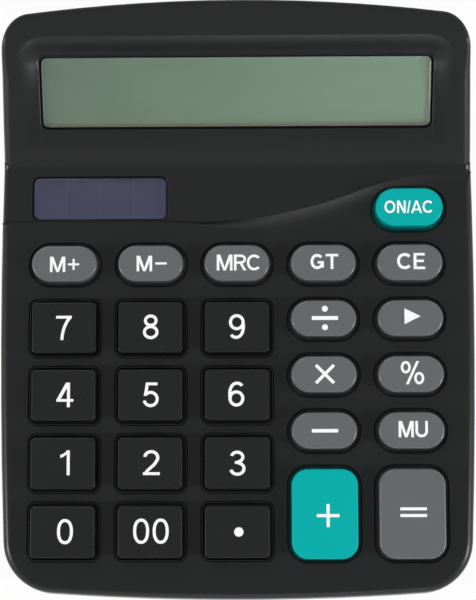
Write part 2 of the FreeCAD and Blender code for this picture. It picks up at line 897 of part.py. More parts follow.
def keypad_membrane():
    """Rubber sheet with one hollow dome under each key."""
    half = sheet_half_width
    sheet = box(-half, half, sheet_front_y, sheet_rear_y, board_top, sheet_top)
    lobe = box(sheet_lobe_x, half, sheet_rear_y - past, sheet_lobe_y, board_top, sheet_top)
    domes, hollows = [], []
    slope = (dome_base - dome_top) / 2 / dome_height
    roof_z = dome_top_z - dome_roof
    for key in keys:
        centre = V(key[1], key[2], 0)
        dome = frustum(dome_base, dome_top, sheet_top - near, dome_top_z)
        inner_top = dome_top - 2 * dome_wall + 2 * slope * dome_roof
        inner_base = inner_top + 2 * slope * (roof_z - board_top)
        inner = frustum(inner_base, inner_top, board_top, roof_z)
        dome.translate(centre)
        inner.translate(centre)
        domes.append(dome)
        hollows.append(inner)
    hole = board_post + 2 * board_post_gap
    holes = [post(hole, x, y, board_top - past, sheet_top + past) for x, y in board_spots()]
    sheet = sheet.fuse([lobe] + domes).removeSplitter()
    return placed(sheet.cut(hollows + holes), keypad_frame)


def chip_cover():
    """Resin cover over the chip, under the board."""
    cover = frustum(chip_size, chip_top_size, 0, chip_height)
    cover.rotate(V(0, 0, 0), V(1, 0, 0), 180)
    cover.translate(V(0, chip_y, board_bottom))
    return placed(cover, keypad_frame)


def capacitor():
    low = board_bottom - capacitor_length
    can = rod(capacitor_diameter, capacitor_x, capacitor_y, low, board_bottom)
    return placed(can, keypad_frame)


def case_screws():
    """Pan heads below, shanks up through the towers into the posts."""
    screws = []
    tip = post_low + case_screw_grip
    for x, y in both_sides(case_screw_spots):
        head_low = counterbore_top - case_screw_head_height
        head = rod(case_screw_head, x, y, head_low, counterbore_top)
        screws.append(head.fuse(post(case_screw_shank, x, y, counterbore_top - root, tip)))
    return Part.makeCompound(screws)


def lower_outside():
    """Outside of the lower case: tapered tray with a bevelled foot edge."""
    block = lower_block(parting_inset, base_z)
    rim = [e for e in block.Edges if e.BoundBox.ZMax < base_z + near]
    return block.makeChamfer(base_chamfer, rim)


def alignment_lip():
    """Rim that stands inside the upper case, cut away beside the rear screw posts."""
    outer = side_wall + lip_gap
    lip = upper_block(outer).cut(upper_block(outer + lip_thickness))
    lip = lip.common(above_parting(lip_root)).cut(above_parting(-lip_height))
    relief = case_post / 2 + 2 * lip_gap
    for x, y in both_sides(case_screw_spots):
        if abs(y) < abs(x):
            ends = sorted((x, math.copysign(case_width, x)))
            lip = lip.cut(box(ends[0], ends[1], y - relief, y + relief, -past, reach))
    return lip


def floor_ribs():
    """Low stiffening ribs on the floor, along and across."""
    half = rib_thickness / 2
    low, high = floor_z - root, floor_z + rib_height
    ribs = [box(x - half, x + half, rib_front_y, rib_rear_y, low, high) for x in rib_xs]
    wide = rib_half_width
    return ribs + [box(-wide, wide, y - half, y + half, low, high) for y in rib_ys]


def door_cuts():
    """Opening of the sliding door with its side grooves, and the wires' way out of the bay."""
    plate_x = door_width / 2
    groove_x = plate_x + door_tongue + door_rail_clear
    front = door_front_y - door_gap
    end, half = bay_half + 2 * bay_wall, contact_hole / 2
    y0, y1 = bay_centre_y - half, bay_centre_y + half
    return [
        box(-plate_x, plate_x, front, case_length, 0, deck_z),
        box(-groove_x, groove_x, front, case_length, groove_low, deck_z),
        box(-end, end, y0, y1, cell_z - half, cell_z + half),
    ]


def bottom_case():
    """Lower case: tray with an alignment lip, ribs, screw towers and battery bay."""
    outside = lower_outside()
    tray = outside.cut(lower_block(parting_inset + lower_wall, floor_z)).cut(above_parting())
    pieces = [alignment_lip()] + floor_ribs()
    deck_x = door_width / 2 + door_tongue + bay_wall
    deck_front = door_front_y - bay_wall
    deck = box(-deck_x, deck_x, deck_front, case_length, base_z + root, deck_z + door_rail_cover)
    pieces.append(deck.common(outside))
    wall_x, wall_top = bay_half + bay_wall, bay_roof + bay_wall
    wall_front, wall_rear = bay_front - bay_wall, bay_rear + bay_wall
    pieces.append(box(-wall_x, wall_x, wall_front, wall_rear, deck_z, wall_top))
    towers = []
    cuts = [box(-bay_half, bay_half, bay_front, bay_rear, 0, bay_roof)] + door_cuts()
    for x, y in both_sides(case_screw_spots):
        towers.append(post(tower_size, x, y, base_z + root, tower_top).common(outside))
        cuts.append(rod(counterbore_diameter, x, y, 0, counterbore_top))
        cuts.append(post(tower_hole, x, y, 0, tower_top + past))
    return tray.fuse(pieces).removeSplitter().fuse(towers).cut(cuts)


def battery_door():
    """Sliding door: plate flush with the underside, side tongues and finger grip."""
    half = door_width / 2 - door_gap
    tongue = half + door_tongue
    low = door_top - door_tongue_thickness
    plate = box(-half, half, door_front_y, case_length, base_z, door_top)
    plate = plate.fuse(box(-tongue, tongue, door_front_y, case_length, low, door_top))
    plate = plate.common(lower_outside())
    end, wide = grip_length / 2, grip_pitch / 4
    for k in range(grip_ridges):
        y = bay_centre_y + (k - (grip_ridges - 1) / 2) * grip_pitch
        plate = plate.cut(box(-end, end, y - wide, y + wide, 0, base_z + grip_depth))
    return plate.removeSplitter()


def rubber_feet():
    feet = [rod(foot_diameter, x, y, 0, base_z) for x, y in both_sides(foot_spots)]
    return Part.makeCompound(feet)


def lying_bar(diameter, x0, x1):
    """Round bar along the cell's axis."""
    bar = rod(diameter, 0, 0, x0, x1)
    bar.rotate(V(0, 0, 0), V(0, 1, 0), 90)
    bar.translate(V(0, bay_centre_y, cell_z))
    return bar


def battery_cell():
    """Cylindrical cell lying across the case, with its raised positive end to the right."""
    can = lying_bar(cell_diameter, cell_start, cell_end)
    return can.fuse(lying_bar(cell_nub_diameter, cell_end, nub_end))


def contact_plate(x0, x1):
    y0, z0 = bay_centre_y - contact_width / 2, cell_z - contact_height / 2
    return box(x0, x1, y0, y0 + contact_width, z0, z0 + contact_height)


def contact_positive():
    return contact_plate(bay_half - contact_thickness, bay_half)


def contact_negative():
    """Spring strip folded into a V that presses on the cell's flat end."""
    plate = contact_plate(-bay_half, -bay_half + contact_thickness)
    tip_x = cell_start - contact_gap
    wall_x = -bay_half + contact_thickness / 2
    top, low = cell_z + contact_height / 2, cell_z - contact_height / 2
    flat_top, flat_low = cell_z + spring_flat / 2, cell_z - spring_flat / 2
    fold = [(wall_x, top - contact_thickness), (tip_x, flat_top), (tip_x, flat_low)]
    fold.append((wall_x + spring_foot, low))
    inner = [(x - contact_thickness, z) for x, z in fold]
    ring = [V(x, bay_centre_y - contact_width / 2, z) for x, z in fold + inner[::-1]]
    leaf = Part.Face(Part.makePolygon(ring + ring[:1])).extrude(V(0, contact_width, 0))
    keep = box(-bay_half, tip_x, 0, case_length, low, top)
    return plate.fuse(leaf.common(keep)).removeSplitter()


def bent_wire(points):
    """Thin tube along straight runs joined by tangent arcs."""
    edges = []
    at = points[0]
    for before, corner, after in zip(points, points[1:], points[2:]):
        back, ahead = before - corner, after - corner
        cut = wire_bend_share * min(back.Length, ahead.Length)
        half_angle = back.getAngle(ahead) / 2
        radius = cut * math.tan(half_angle)
        back.normalize()
        ahead.normalize()
        bisector = back + ahead
        bisector.normalize()
        start, end = corner + back * cut, corner + ahead * cut
        middle = corner + bisector * (radius / math.sin(half_angle) - radius)
        edges.append(Part.LineSegment(at, start).toShape())
        edges.append(Part.Arc(start, middle, end).toShape())
        at = end
    edges.append(Part.LineSegment(at, points[-1]).toShape())
    ring = []
    for k in range(wire_sides + 1):
        turn = 2 * math.pi * k / wire_sides
        offset = V(0, math.cos(turn), math.sin(turn)) * (wire_diameter / 2)
        ring.append(points[0] + offset)
    return Part.Wire(edges).makePipeShell([Part.makePolygon(ring)], True, False)


def battery_wires():
    """One lead from each contact, out through the bay wall and forward to the board."""
    wires = []
    for side in (-1, 1):
        end = keypad_frame.multVec(V(side * wire_end_x, wire_end_y, board_bottom))
        low = keypad_frame.multVec(V(side * wire_end_x, wire_end_y, board_bottom - wire_rise))
        start = V(side * bay_half, bay_centre_y, cell_z)
        out = V(side * (bay_half + bay_wall + wire_out), bay_centre_y, cell_z)
        wires.append(bent_wire([start, out, low, end]))
    return Part.makeCompound(wires)


nodes = {
    "top_case": top_case,
    "bottom_case": bottom_case,
    "battery_door": battery_door,
    "rubber_feet": rubber_feet,
    "display_window": display_window,
    "lcd_panel": lcd_panel,
    "lcd_holder": lcd_holder,
    "lcd_ribbon": lcd_ribbon,
    "solar_window": solar_window,
    "solar_cell": solar_cell,
    "solar_pad": solar_pad,
    "solar_leads": solar_leads,
    "main_board": main_board,
    "keypad_membrane": keypad_membrane,
    "chip_cover": chip_cover,
    "capacitor": capacitor,
    "case_screws": case_screws,
    "battery_cell": battery_cell,
    "battery_contact_positive": contact_positive,
    "battery_contact_negative": contact_negative,
    "battery_wires": battery_wires,
}

os.makedirs("parts", exist_ok=True)
for name, make in nodes.items():
    make().exportStep(f"parts/{name}.step")
for key in keys:
    key_cap(key).exportStep(f"parts/{key[0]}.step")
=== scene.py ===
import math

import bmesh
import bpy
from mathutils import Matrix, Vector
from mathutils.geometry import convex_hull_2d, delaunay_2d_cdt


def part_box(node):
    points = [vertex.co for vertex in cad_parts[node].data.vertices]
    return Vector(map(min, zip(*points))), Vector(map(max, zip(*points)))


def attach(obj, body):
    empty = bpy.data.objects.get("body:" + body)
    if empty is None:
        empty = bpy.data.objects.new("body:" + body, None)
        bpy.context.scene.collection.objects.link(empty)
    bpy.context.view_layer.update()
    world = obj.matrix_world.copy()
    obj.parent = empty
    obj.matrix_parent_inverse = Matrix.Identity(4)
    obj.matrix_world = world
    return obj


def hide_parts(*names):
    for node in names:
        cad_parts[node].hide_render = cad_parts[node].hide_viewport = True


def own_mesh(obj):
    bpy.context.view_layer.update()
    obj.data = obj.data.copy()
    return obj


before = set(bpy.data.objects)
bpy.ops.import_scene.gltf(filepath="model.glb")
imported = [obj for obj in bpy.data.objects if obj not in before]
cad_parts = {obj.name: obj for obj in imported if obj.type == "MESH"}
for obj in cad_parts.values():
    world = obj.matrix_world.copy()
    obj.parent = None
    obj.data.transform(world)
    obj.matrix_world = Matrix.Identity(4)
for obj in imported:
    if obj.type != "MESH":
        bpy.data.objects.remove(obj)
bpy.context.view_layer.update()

# Sizes are in millimetres, in the keypad's and screen's own planes. Meshes are made in metres.
MM = 0.001


def sloped(y, z, tilt):
    """Plane across the case, by its origin and its rise to the rear in degrees."""
    return Matrix.Translation((0, y * MM, z * MM)) @ Matrix.Rotation(math.radians(tilt), 4, "X")


def upward(plane):
    """A plane's normal."""
    return plane.to_3x3() @ Vector((0, 0, 1))


SCREEN_FOOT, HEAD_TILT = -13.6, 6.5
KEYPAD = sloped(1.28, 18.911, 5)
SCREEN = sloped(51.952, 30.708, 28.5)
HEAD = SCREEN @ sloped(SCREEN_FOOT, 0, HEAD_TILT)
LEVEL = Matrix.Identity(4)
LIFT = upward(KEYPAD)

# Heights over the keypad's plane, and of the case's underside over the table
KEY_RISE, VALLEY = 3.2, -1.2
FLANGE_TOP, FLANGE_LOW, PLUNGER_LOW = -2.9, -3.8, -4.6
DOME_TOP, SHEET_TOP, BOARD_TOP, BOARD_LOW = -4.65, -6.35, -7.15, -8.75
BASE = 1.5

# Columns are one pitch apart, and each kind of key has its rear row and its step to the next
PITCH = 21.5
OVAL_REAR, OVAL_STEP = 9.3, 13.9
DIGIT_REAR, DIGIT_STEP = -6.7, 16.8
TALL_PLACE = -52.8

# Panes as x, y, width, height and corner radius, and the seams round them
DISPLAY = (0.0, 0.0, 96.8, 17.4, 1.4)
SOLAR = (-34.6, 26.4, 33.4, 10.5, 1.5)
SEAM, SOLAR_SEAM = 0.5, 0.35


def oval(name, column, row):
    """Oval key in its column and row."""
    return (name, column * PITCH, OVAL_REAR - row * OVAL_STEP, 16.2, 9.0, 4.5)


def digit(name, column, row):
    """Figure key in its column and row."""
    return (name, column * PITCH, DIGIT_REAR - row * DIGIT_STEP, 15.9, 12.6, 1.0)


def tall(name, column):
    """Tall key of the front row in its column."""
    return (name, column * PITCH, TALL_PLACE, 16.3, 22.0, 4.0)


# Keys: name, x, y, width, height, corner radius
KEYS = [
    ("key_on_clear", 2 * PITCH, 23.2, 16.7, 9.5, 4.75),
    oval("key_memory_plus", -2, 0), oval("key_memory_minus", -1, 0), oval("key_memory_recall", 0, 0),
    oval("key_grand_total", 1, 0), oval("key_clear_entry", 2, 0), oval("key_divide", 1, 1),
    oval("key_backspace", 2, 1), oval("key_multiply", 1, 2), oval("key_percent", 2, 2),
    oval("key_subtract", 1, 3), oval("key_mark_up", 2, 3),
    digit("key_7", -2, 0), digit("key_8", -1, 0), digit("key_9", 0, 0),
    digit("key_4", -2, 1), digit("key_5", -1, 1), digit("key_6", 0, 1),
    digit("key_1", -2, 2), digit("key_2", -1, 2), digit("key_3", 0, 2),
    digit("key_0", -2, 3), digit("key_00", -1, 3), digit("key_point", 0, 3),
    tall("key_add", 1), tall("key_equals", 2),
]


# Node trees

class Sock:
    """An output socket that takes part in arithmetic."""

    def __init__(self, tree, socket):
        self.tree, self.socket = tree, socket

    def math(self, operation, *others):
        values = [self, *others]
        return self.tree.node("ShaderNodeMath", {"operation": operation}, dict(enumerate(values)))

    def __add__(self, other):
        return self.math("ADD", other)

    def __sub__(self, other):
        return self.math("SUBTRACT", other)

    def __mul__(self, other):
        return self.math("MULTIPLY", other)

    def __truediv__(self, other):
        return self.math("DIVIDE", other)

    def __rsub__(self, other):
        return (self * -1.0) + other

    def __gt__(self, other):
        return self.math("GREATER_THAN", other)

    def __lt__(self, other):
        return self.math("LESS_THAN", other)

    __radd__ = __add__
    __rmul__ = __mul__

    def clamped(self):
        return self.tree.node("ShaderNodeClamp", None, {0: self})

    def every(self, pitch):
        """Share of the way from one line to the next."""
        return (self / pitch).math("FRACT")


class Tree:
    """Builds a node tree: one method makes any node, with its settings and inputs."""

    def __init__(self, tree):
        self.tree = tree

    def node(self, kind, settings=None, inputs=None, out=0):
        made = self.tree.nodes.new(kind)
        for name, value in (settings or {}).items():
            setattr(made, name, value)
        for name, value in (inputs or {}).items():
            if isinstance(value, Sock):
                self.tree.links.new(value.socket, made.inputs[name])
            else:
                made.inputs[name].default_value = value
        return Sock(self, made.outputs[out])

    def place(self):
        return self.node("ShaderNodeTexCoord", out="Object")

    def axes(self):
        """X and Y of the object coordinates in millimetres."""
        made = self.node("ShaderNodeSeparateXYZ", None, {0: self.place()})
        outs = made.socket.node.outputs
        return Sock(self, outs["X"]) / MM, Sock(self, outs["Y"]) / MM

    def noise(self, scale, detail=2.0, where=None):
        inputs = {"Vector": where or self.place(), "Scale": scale, "Detail": detail}
        return self.node("ShaderNodeTexNoise", None, inputs)

    def cells(self, scale):
        return self.node("ShaderNodeTexVoronoi", None, {"Vector": self.place(), "Scale": scale})

    def blend(self, share, low, high):
        return self.node("ShaderNodeMix", {"data_type": "RGBA"}, {0: share, 6: low, 7: high}, out=2)

    def bump(self, height, depth):
        """Relief whose depth is in millimetres."""
        return self.node("ShaderNodeBump", None, {"Height": height, "Distance": depth * MM})

    def surface(self, **inputs):
        named = {name.replace("_", " "): value for name, value in inputs.items()}
        return self.node("ShaderNodeBsdfPrincipled", None, named)

    def end(self, surface):
        out = self.tree.nodes.new("ShaderNodeOutputMaterial")
        self.tree.links.new(surface.socket, out.inputs["Surface"])


def srgb(r, g, b):
    """Colour written as 0 to 255 on screen, as the linear values that shaders take."""
    linear = [c / 255 / 12.92 if c <= 10 else ((c / 255 + 0.055) / 1.055) ** 2.4 for c in (r, g, b)]
    return (*linear, 1.0)


def shade(colour, k):
    """Colour made darker or lighter."""
    return (*[min(1.0, c * k) for c in colour[:3]], 1.0)


def material(name):
    """Empty material and the builder of its tree."""
    made = bpy.data.materials.new(name)
    made.use_nodes = True
    made.node_tree.nodes.clear()
    return made, Tree(made.node_tree)


def moulded(name, colour, rough, grain=0.0, pitch=3000.0, spread=0.12, shine=0.3):
    """Moulded plastic or rubber: flow marks in colour and gloss, and a fine eroded grain."""
    made, t = material(name)
    flow = t.noise(35.0, 3.0)
    fine = t.noise(1100.0, 2.0)
    tone = t.blend(flow * 0.7 + fine * 0.3, shade(colour, 1 - spread), shade(colour, 1 + spread))
    gloss = flow * 0.06 + fine * 0.05 + (rough - 0.055)
    height = t.cells(pitch) * 0.6 + t.noise(pitch * 0.6, 2.0) * 0.4
    normal = t.bump(height, grain)
    t.end(t.surface(Base_Color=tone, Roughness=gloss, Normal=normal, Specular_IOR_Level=shine))
    return made


def brushed(name, colour, rough):
    """Plated metal with fine drawn lines along X and light tarnish."""
    made, t = material(name)
    stretch = t.node("ShaderNodeMapping", None, {"Vector": t.place(), "Scale": (60.0, 2400.0, 2400.0)})
    lines = t.noise(1.0, 3.0, stretch)
    stain = t.noise(160.0, 4.0)
    tone = t.blend(stain, shade(colour, 0.8), shade(colour, 1.1))
    normal = t.bump(lines, 0.004)
    gloss = stain * 0.15 + lines * 0.08 + (rough - 0.1)
    t.end(t.surface(Base_Color=tone, Metallic=1.0, Roughness=gloss, Normal=normal))
    return made


def glazing(name, tint, rough=0.06):
    """Clear moulded sheet with faint waviness."""
    made, t = material(name)
    wave = t.noise(70.0, 2.0)
    tone = t.blend(wave, shade(tint, 0.97), tint)
    normal = t.bump(wave, 0.01)
    t.end(t.surface(Base_Color=tone, Roughness=wave * 0.02 + rough, Normal=normal,
                    Transmission_Weight=1.0, IOR=1.49))
    return made


def display_face():
    """Idle liquid crystal: grey green, paler to the right, with painted light at its borders, and a faint
    weave.
    """
    made, t = material("display")
    x, y = t.axes()
    drift = x * 0.007 + 0.5 + t.noise(18.0, 3.0) * 0.16 - 0.08
    tone = t.blend(drift, srgb(119, 146, 125), srgb(166, 202, 172))
    # Painted light and shade where the window's edges refract: a greyer band towards the bottom, beige
    # strips at the bottom and right, a bluish strip at the left and a bright line along the top
    painted_edge_light = [(48.6 - y, 0.16, 1.0, (138, 158, 130)), (46.3 - y, 1.1, 0.7, (170, 168, 146)),
               (x - 46.9, 1.0, 0.7, (172, 168, 146)), (-46.9 - x, 1.0, 0.6, (124, 158, 156)),
               (y - 60.25, 3.0, 0.7, (200, 210, 190))]
    for beyond, rate, share, tint in painted_edge_light:
        tone = t.blend((beyond * rate).clamped() * share, tone, srgb(*tint))
    weave = t.noise(2600.0, 1.0)
    gloss = weave * 0.08 + 0.3
    t.end(t.surface(Base_Color=tone, Roughness=gloss, Normal=t.bump(weave, 0.003)))
    return made


def solar_face():
    """Four thin-film cells, parted by narrow lines, with painted bluish light along their edges."""
    made, t = material("solar_cells")
    x, y = t.axes()
    along = (x + 51.3).every(8.35)
    line = (along < 0.035) + (along > 0.965)
    cloud = t.noise(60.0, 4.0)
    film = t.blend(cloud, srgb(84, 81, 112), srgb(94, 91, 124))
    bars = y.every(0.625) < 0.06
    film = t.blend(bars * 0.08, film, srgb(110, 112, 140))
    tone = t.blend(line.clamped() * 0.25, film, srgb(110, 110, 138))
    # Painted light: a bluish strip along the left, right and front edges, where the window's edges refract
    left, right, front = [(beyond * 1.4).clamped() for beyond in (-50.2 - x, x + 19.1, 23.7 - y)]
    tone = t.blend((left + right + front).clamped() * 0.8, tone, srgb(82, 112, 156))
    t.end(t.surface(Base_Color=tone, Roughness=cloud * 0.1 + 0.25, Normal=t.bump(line, 0.01)))
    return made


def board_face():
    """Printed board: solder mask over straight copper tracks."""
    made, t = material("board")
    x, y = t.axes()
    gate = t.noise(95.0, 0.0)
    tracks = (x.every(1.9) < 0.3) * (gate > 0.48)
    crossing = (y.every(2.3) < 0.25) * (gate < 0.4)
    copper = (tracks + crossing).clamped()
    weave = t.noise(1500.0, 2.0)
    tone = t.blend(copper, shade(srgb(30, 84, 46), 0.9), srgb(58, 122, 62))
    tone = t.blend(weave * 0.25, tone, srgb(24, 66, 36))
    t.end(t.surface(Base_Color=tone, Roughness=weave * 0.1 + 0.32, Normal=t.bump(copper, 0.03)))
    return made


def banded(name, parts, rough, metallic=0.0):
    """Colours that change along X: (start in millimetres, colour), from the left."""
    made, t = material(name)
    x, _ = t.axes()
    cloud = t.noise(300.0, 2.0)
    first = parts[0][1]
    tone = t.blend(cloud * 0.2, first, shade(first, 0.7))
    for start, colour in parts[1:]:
        tone = t.blend(x > start, tone, colour)
    t.end(t.surface(Base_Color=tone, Roughness=cloud * 0.1 + rough, Metallic=metallic))
    return made


def striped(name, colour, line, pitch, width):
    """Flat film with conductors along Y, which take up a share of each pitch."""
    made, t = material(name)
    x, _ = t.axes()
    stripe = x.every(pitch) < width
    cloud = t.noise(200.0, 2.0)
    tone = t.blend(stripe, t.blend(cloud, colour, shade(colour, 0.8)), line)
    t.end(t.surface(Base_Color=tone, Roughness=cloud * 0.1 + 0.3, Normal=t.bump(stripe, 0.01)))
    return made


FINISH = {
    "case_plastic": moulded("case_plastic", srgb(28, 29, 30), 0.3, 0.006),
    "case_lower_plastic": moulded("case_lower_plastic", srgb(27, 28, 29), 0.5, 0.02),
    "key_black": moulded("key_black", srgb(26, 28, 27), 0.28, 0.001),
    "key_grey": moulded("key_grey", srgb(98, 99, 101), 0.3, 0.0012, spread=0.03, shine=0.5),
    "key_teal": moulded("key_teal", srgb(0, 173, 170), 0.3, 0.0012, spread=0.04, shine=0.12),
    "legend": moulded("legend", srgb(250, 250, 250), 0.5, 0.002, spread=0.02),
    "window_clear": glazing("window_clear", (0.97, 0.985, 0.975, 1.0), rough=0.16),
    "solar_tint": glazing("solar_tint", (0.8, 0.8, 0.9, 1.0)),
    "display": display_face(),
    "solar_cells": solar_face(),
    "foam": moulded("foam", srgb(52, 54, 58), 0.9, 0.12, pitch=1800.0, spread=0.2),
    "metal": brushed("metal", srgb(206, 206, 202), 0.32),
    "board": board_face(),
    "silicone": moulded("silicone", srgb(150, 156, 160), 0.55, 0.01, spread=0.05),
    "inner_plastic": moulded("inner_plastic", srgb(216, 217, 212), 0.45, 0.01, spread=0.03),
    "resin": moulded("resin", srgb(20, 20, 21), 0.22, 0.004, spread=0.2),
    "foot_rubber": moulded("foot_rubber", srgb(30, 30, 31), 0.75, 0.02),
    "carbon": moulded("carbon", srgb(14, 14, 15), 0.6, 0.01, shine=0.1),
    "cell_wrap": banded("cell_wrap", [(-99.0, srgb(176, 176, 172)), (-26.0, srgb(40, 74, 132)),
                                      (7.0, srgb(196, 150, 82)), (24.0, srgb(205, 205, 200))], 0.3, 0.2),
    "wire_cover": banded("wire_cover", [(-99.0, srgb(26, 26, 28)), (0.0, srgb(176, 30, 28))], 0.45),
    "ribbon_film": striped("ribbon_film", srgb(196, 150, 70), srgb(96, 66, 34), 1.2, 0.45),
}


# Meshes

def rounded(width, height, radius, steps=8):
    """Points round a rounded rectangle, anticlockwise from the right."""
    x, y = width / 2 - radius, height / 2 - radius
    points = []
    for cx, cy, turn in ((x, y, 0), (-x, y, 90), (-x, -y, 180), (x, -y, 270)):
        for k in range(steps + 1):
            a = math.radians(turn + 90 * k / steps)
            points.append((cx + radius * math.cos(a), cy + radius * math.sin(a)))
    return points


def outline(x, y, width, height, radius, gap, steps=10):
    """Points round a rounded rectangle at its place, grown by a gap."""
    points = rounded(width + 2 * gap, height + 2 * gap, max(radius + gap, 0.1), steps)
    return [(px + x, py + y) for px, py in points]


def area(points):
    """Area that a line goes round, below zero where it runs clockwise."""
    return sum(a[0] * b[1] - b[0] * a[1] for a, b in zip(points, points[1:] + points[:1])) / 2


def eased(share):
    """Zero to one, with a level start and end."""
    share = min(max(share, 0.0), 1.0)
    return share * share * (3 - 2 * share)


class Body:
    """A mesh under construction, in millimetres in a plane's own frame."""

    def __init__(self, plane=LEVEL, x=0.0, y=0.0):
        self.plane, self.at = plane, Vector((x, y, 0.0))
        self.mesh = bmesh.new()

    def skin(self, rows, ends=True):
        """Skin through closed rows of points, with a flat face at each end."""
        rows = [[self.mesh.verts.new(self.at + Vector(p)) for p in row] for row in rows]
        for low, high in zip(rows, rows[1:]):
            for i in range(len(low)):
                j = (i + 1) % len(low)
                self.mesh.faces.new((low[i], low[j], high[j], high[i]))
        if ends:
            self.mesh.faces.new(rows[0][::-1])
            self.mesh.faces.new(rows[-1])
        return self

    def rings(self, rings, ends=True):
        """Skin through level rings of (points, z)."""
        return self.skin([[(*p, z) for p in points] for points, z in rings], ends)

    def box(self, x0, x1, y0, y1, z0, z1):
        corners = [(x0, y0), (x1, y0), (x1, y1), (x0, y1)]
        return self.rings([(corners, z0), (corners, z1)])

    def turned(self, profile, steps=40, x=0.0, y=0.0):
        """Round body from (radius, z) points, bottom to top."""
        rings = []
        for radius, z in profile:
            angles = [2 * math.pi * k / steps for k in range(steps)]
            rings.append(([(x + radius * math.cos(a), y + radius * math.sin(a)) for a in angles], z))
        return self.rings(rings)

    def ready(self):
        """The finished mesh in metres, with outward faces."""
        bmesh.ops.remove_doubles(self.mesh, verts=self.mesh.verts, dist=1e-5)
        bmesh.ops.transform(self.mesh, matrix=self.plane @ Matrix.Scale(MM, 4), verts=self.mesh.verts)
        bmesh.ops.recalc_face_normals(self.mesh, faces=self.mesh.faces)
        made = bpy.data.meshes.new("mesh")
        self.mesh.to_mesh(made)
        self.mesh.free()
        return made


def piece(name, mesh, body, finish, stands_for=(), crease=32.0):
    """Puts a mesh in the scene as one finished piece of a body."""
    made = bpy.data.objects.new(name, mesh)
    bpy.context.scene.collection.objects.link(made)
    mesh.name = name
    mesh.materials.clear()
    mesh.materials.append(FINISH[finish])
    mesh.polygons.foreach_set("use_smooth", [True] * len(mesh.polygons))
    mesh.set_sharp_from_angle(angle=math.radians(crease))
    even = made.modifiers.new("even", "WEIGHTED_NORMAL")
    even.keep_sharp = True
    apply(made)
    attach(made, body)
    if stands_for:
        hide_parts(*stands_for)
    return made


def apply(made):
    """Turns an object's modifiers into plain mesh."""
    shown = made.evaluated_get(bpy.context.evaluated_depsgraph_get())
    mesh = bpy.data.meshes.new_from_object(shown)
    made.modifiers.clear()
    mesh.name = made.name
    made.data = mesh


def carried(node):
    """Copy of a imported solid's mesh, with its split corners joined and its flat faces whole."""
    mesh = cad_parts[node].data.copy()
    work = bmesh.new()
    work.from_mesh(mesh)
    bmesh.ops.remove_doubles(work, verts=work.verts, dist=2e-6)
    bmesh.ops.dissolve_limit(work, angle_limit=math.radians(0.4), verts=work.verts, edges=work.edges)
    work.to_mesh(mesh)
    work.free()
    for layer in [a for a in mesh.attributes if a.name.startswith("custom_normal")]:
        mesh.attributes.remove(layer)
    return mesh


def carry(node, body, finish):
    """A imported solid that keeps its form."""
    piece(node + "_form", carried(node), body, finish, (node,))


def cut_away(mesh, tool, operation="DIFFERENCE"):
    """Mesh less another closed mesh, unless the operation says otherwise."""
    made = bpy.data.objects.new("work", mesh)
    other = bpy.data.objects.new("tool", tool)
    for o in (made, other):
        bpy.context.scene.collection.objects.link(o)
    cut = made.modifiers.new("cut", "BOOLEAN")
    cut.operation, cut.solver, cut.object = operation, "EXACT", other
    apply(made)
    result = made.data
    bpy.data.objects.remove(made)
    bpy.data.objects.remove(other)
    return result


def joined(mesh, other):
    """Mesh joined with another closed mesh."""
    return cut_away(mesh, other, "UNION")


# Upper case: sunk collars round the keys, soft wave and bezel, seams round the panes, rounder rims

def key_finish(name):
    """Two keys are teal, the figure keys black and the others grey."""
    if name in ("key_on_clear", "key_add"):
        return "key_teal"
    if name[4:].isdigit() or name == "key_point":
        return "key_black"
    return "key_grey"


def collars():
    """One closed cutter per key: hole, sunk collar and softened step, shallow round the digits."""
    work = Body(KEYPAD)
    shallow = [(0.5, -3.0), (0.52, -0.7), (0.62, -0.46), (0.7, -0.4), (0.98, -0.4), (1.05, -0.33),
               (1.11, -0.14), (1.18, -0.02), (1.3, 0.06)]
    deep = [(0.5, -3.0), (0.52, -1.1), (0.6, -0.98), (0.9, -0.95), (0.97, -0.86), (1.0, -0.3),
            (1.05, -0.12), (1.15, -0.02), (1.3, 0.06)]
    for name, *place in KEYS:
        wider = 0.15 if name == "key_on_clear" else 0.0
        profile = shallow if key_finish(name) == "key_black" else deep
        work.rings([(outline(*place, gap + wider), z) for gap, z in profile])
    return work.ready()


def opening(plane, place, top, gap):
    """Cutter that widens a window's opening and softens its edge."""
    profile = [(gap, -0.9), (gap, -0.2), (gap + 0.06, -0.08), (gap + 0.2, 0.0), (gap + 0.45, 0.1)]
    return Body(plane).rings([(outline(*place, out), top + z) for out, z in profile]).ready()


WAVE_START, WAVE_TURN, WAVE_END = -10.0, 30.0, 57.0
WAVE_LOW, WAVE_HIGH = 20.3, 32.8
CRISP_START, CRISP_END = -57.5, -5.0


def wave_points():
    """Line of the wave: two arcs between straight ends, as (x, y, reach of its roll)."""
    first, second = WAVE_TURN - WAVE_START, WAVE_END - WAVE_TURN
    climb = (WAVE_HIGH - WAVE_LOW) * first / (WAVE_END - WAVE_START)
    bend = 2 * math.atan(climb / first)
    line = [(x, WAVE_LOW) for x in (-62.0, -57.0, -50.0, -40.0, -30.0, -22.0, -16.0)]
    for k in range(21):
        a, radius = bend * k / 20, first / math.sin(bend)
        line.append((WAVE_START + radius * math.sin(a), WAVE_LOW + radius * (1 - math.cos(a))))
    for k in range(15, -1, -1):
        a, radius = bend * k / 16, second / math.sin(bend)
        line.append((WAVE_END - radius * math.sin(a), WAVE_HIGH - radius * (1 - math.cos(a))))
    line.append((62.0, WAVE_HIGH))
    return [(x, y, 0.25 + 6.5 * eased((x + 18.0) / 40.0)) for x, y in line]


def along_wave(section, start=-99.0, end=99.0):
    """Body swept along the wave from a closed section of (distance out, height) for each reach."""
    line = [point for point in wave_points() if start < point[0] < end]
    rows = []
    for i, (x, y, reach) in enumerate(line):
        before, after = line[max(i - 1, 0)], line[min(i + 1, len(line) - 1)]
        along = Vector((after[0] - before[0], after[1] - before[1])).normalized()
        rows.append([(x - along.y * out, y + along.x * out, z) for out, z in section(reach)])
    return Body(KEYPAD).skin(rows).ready()


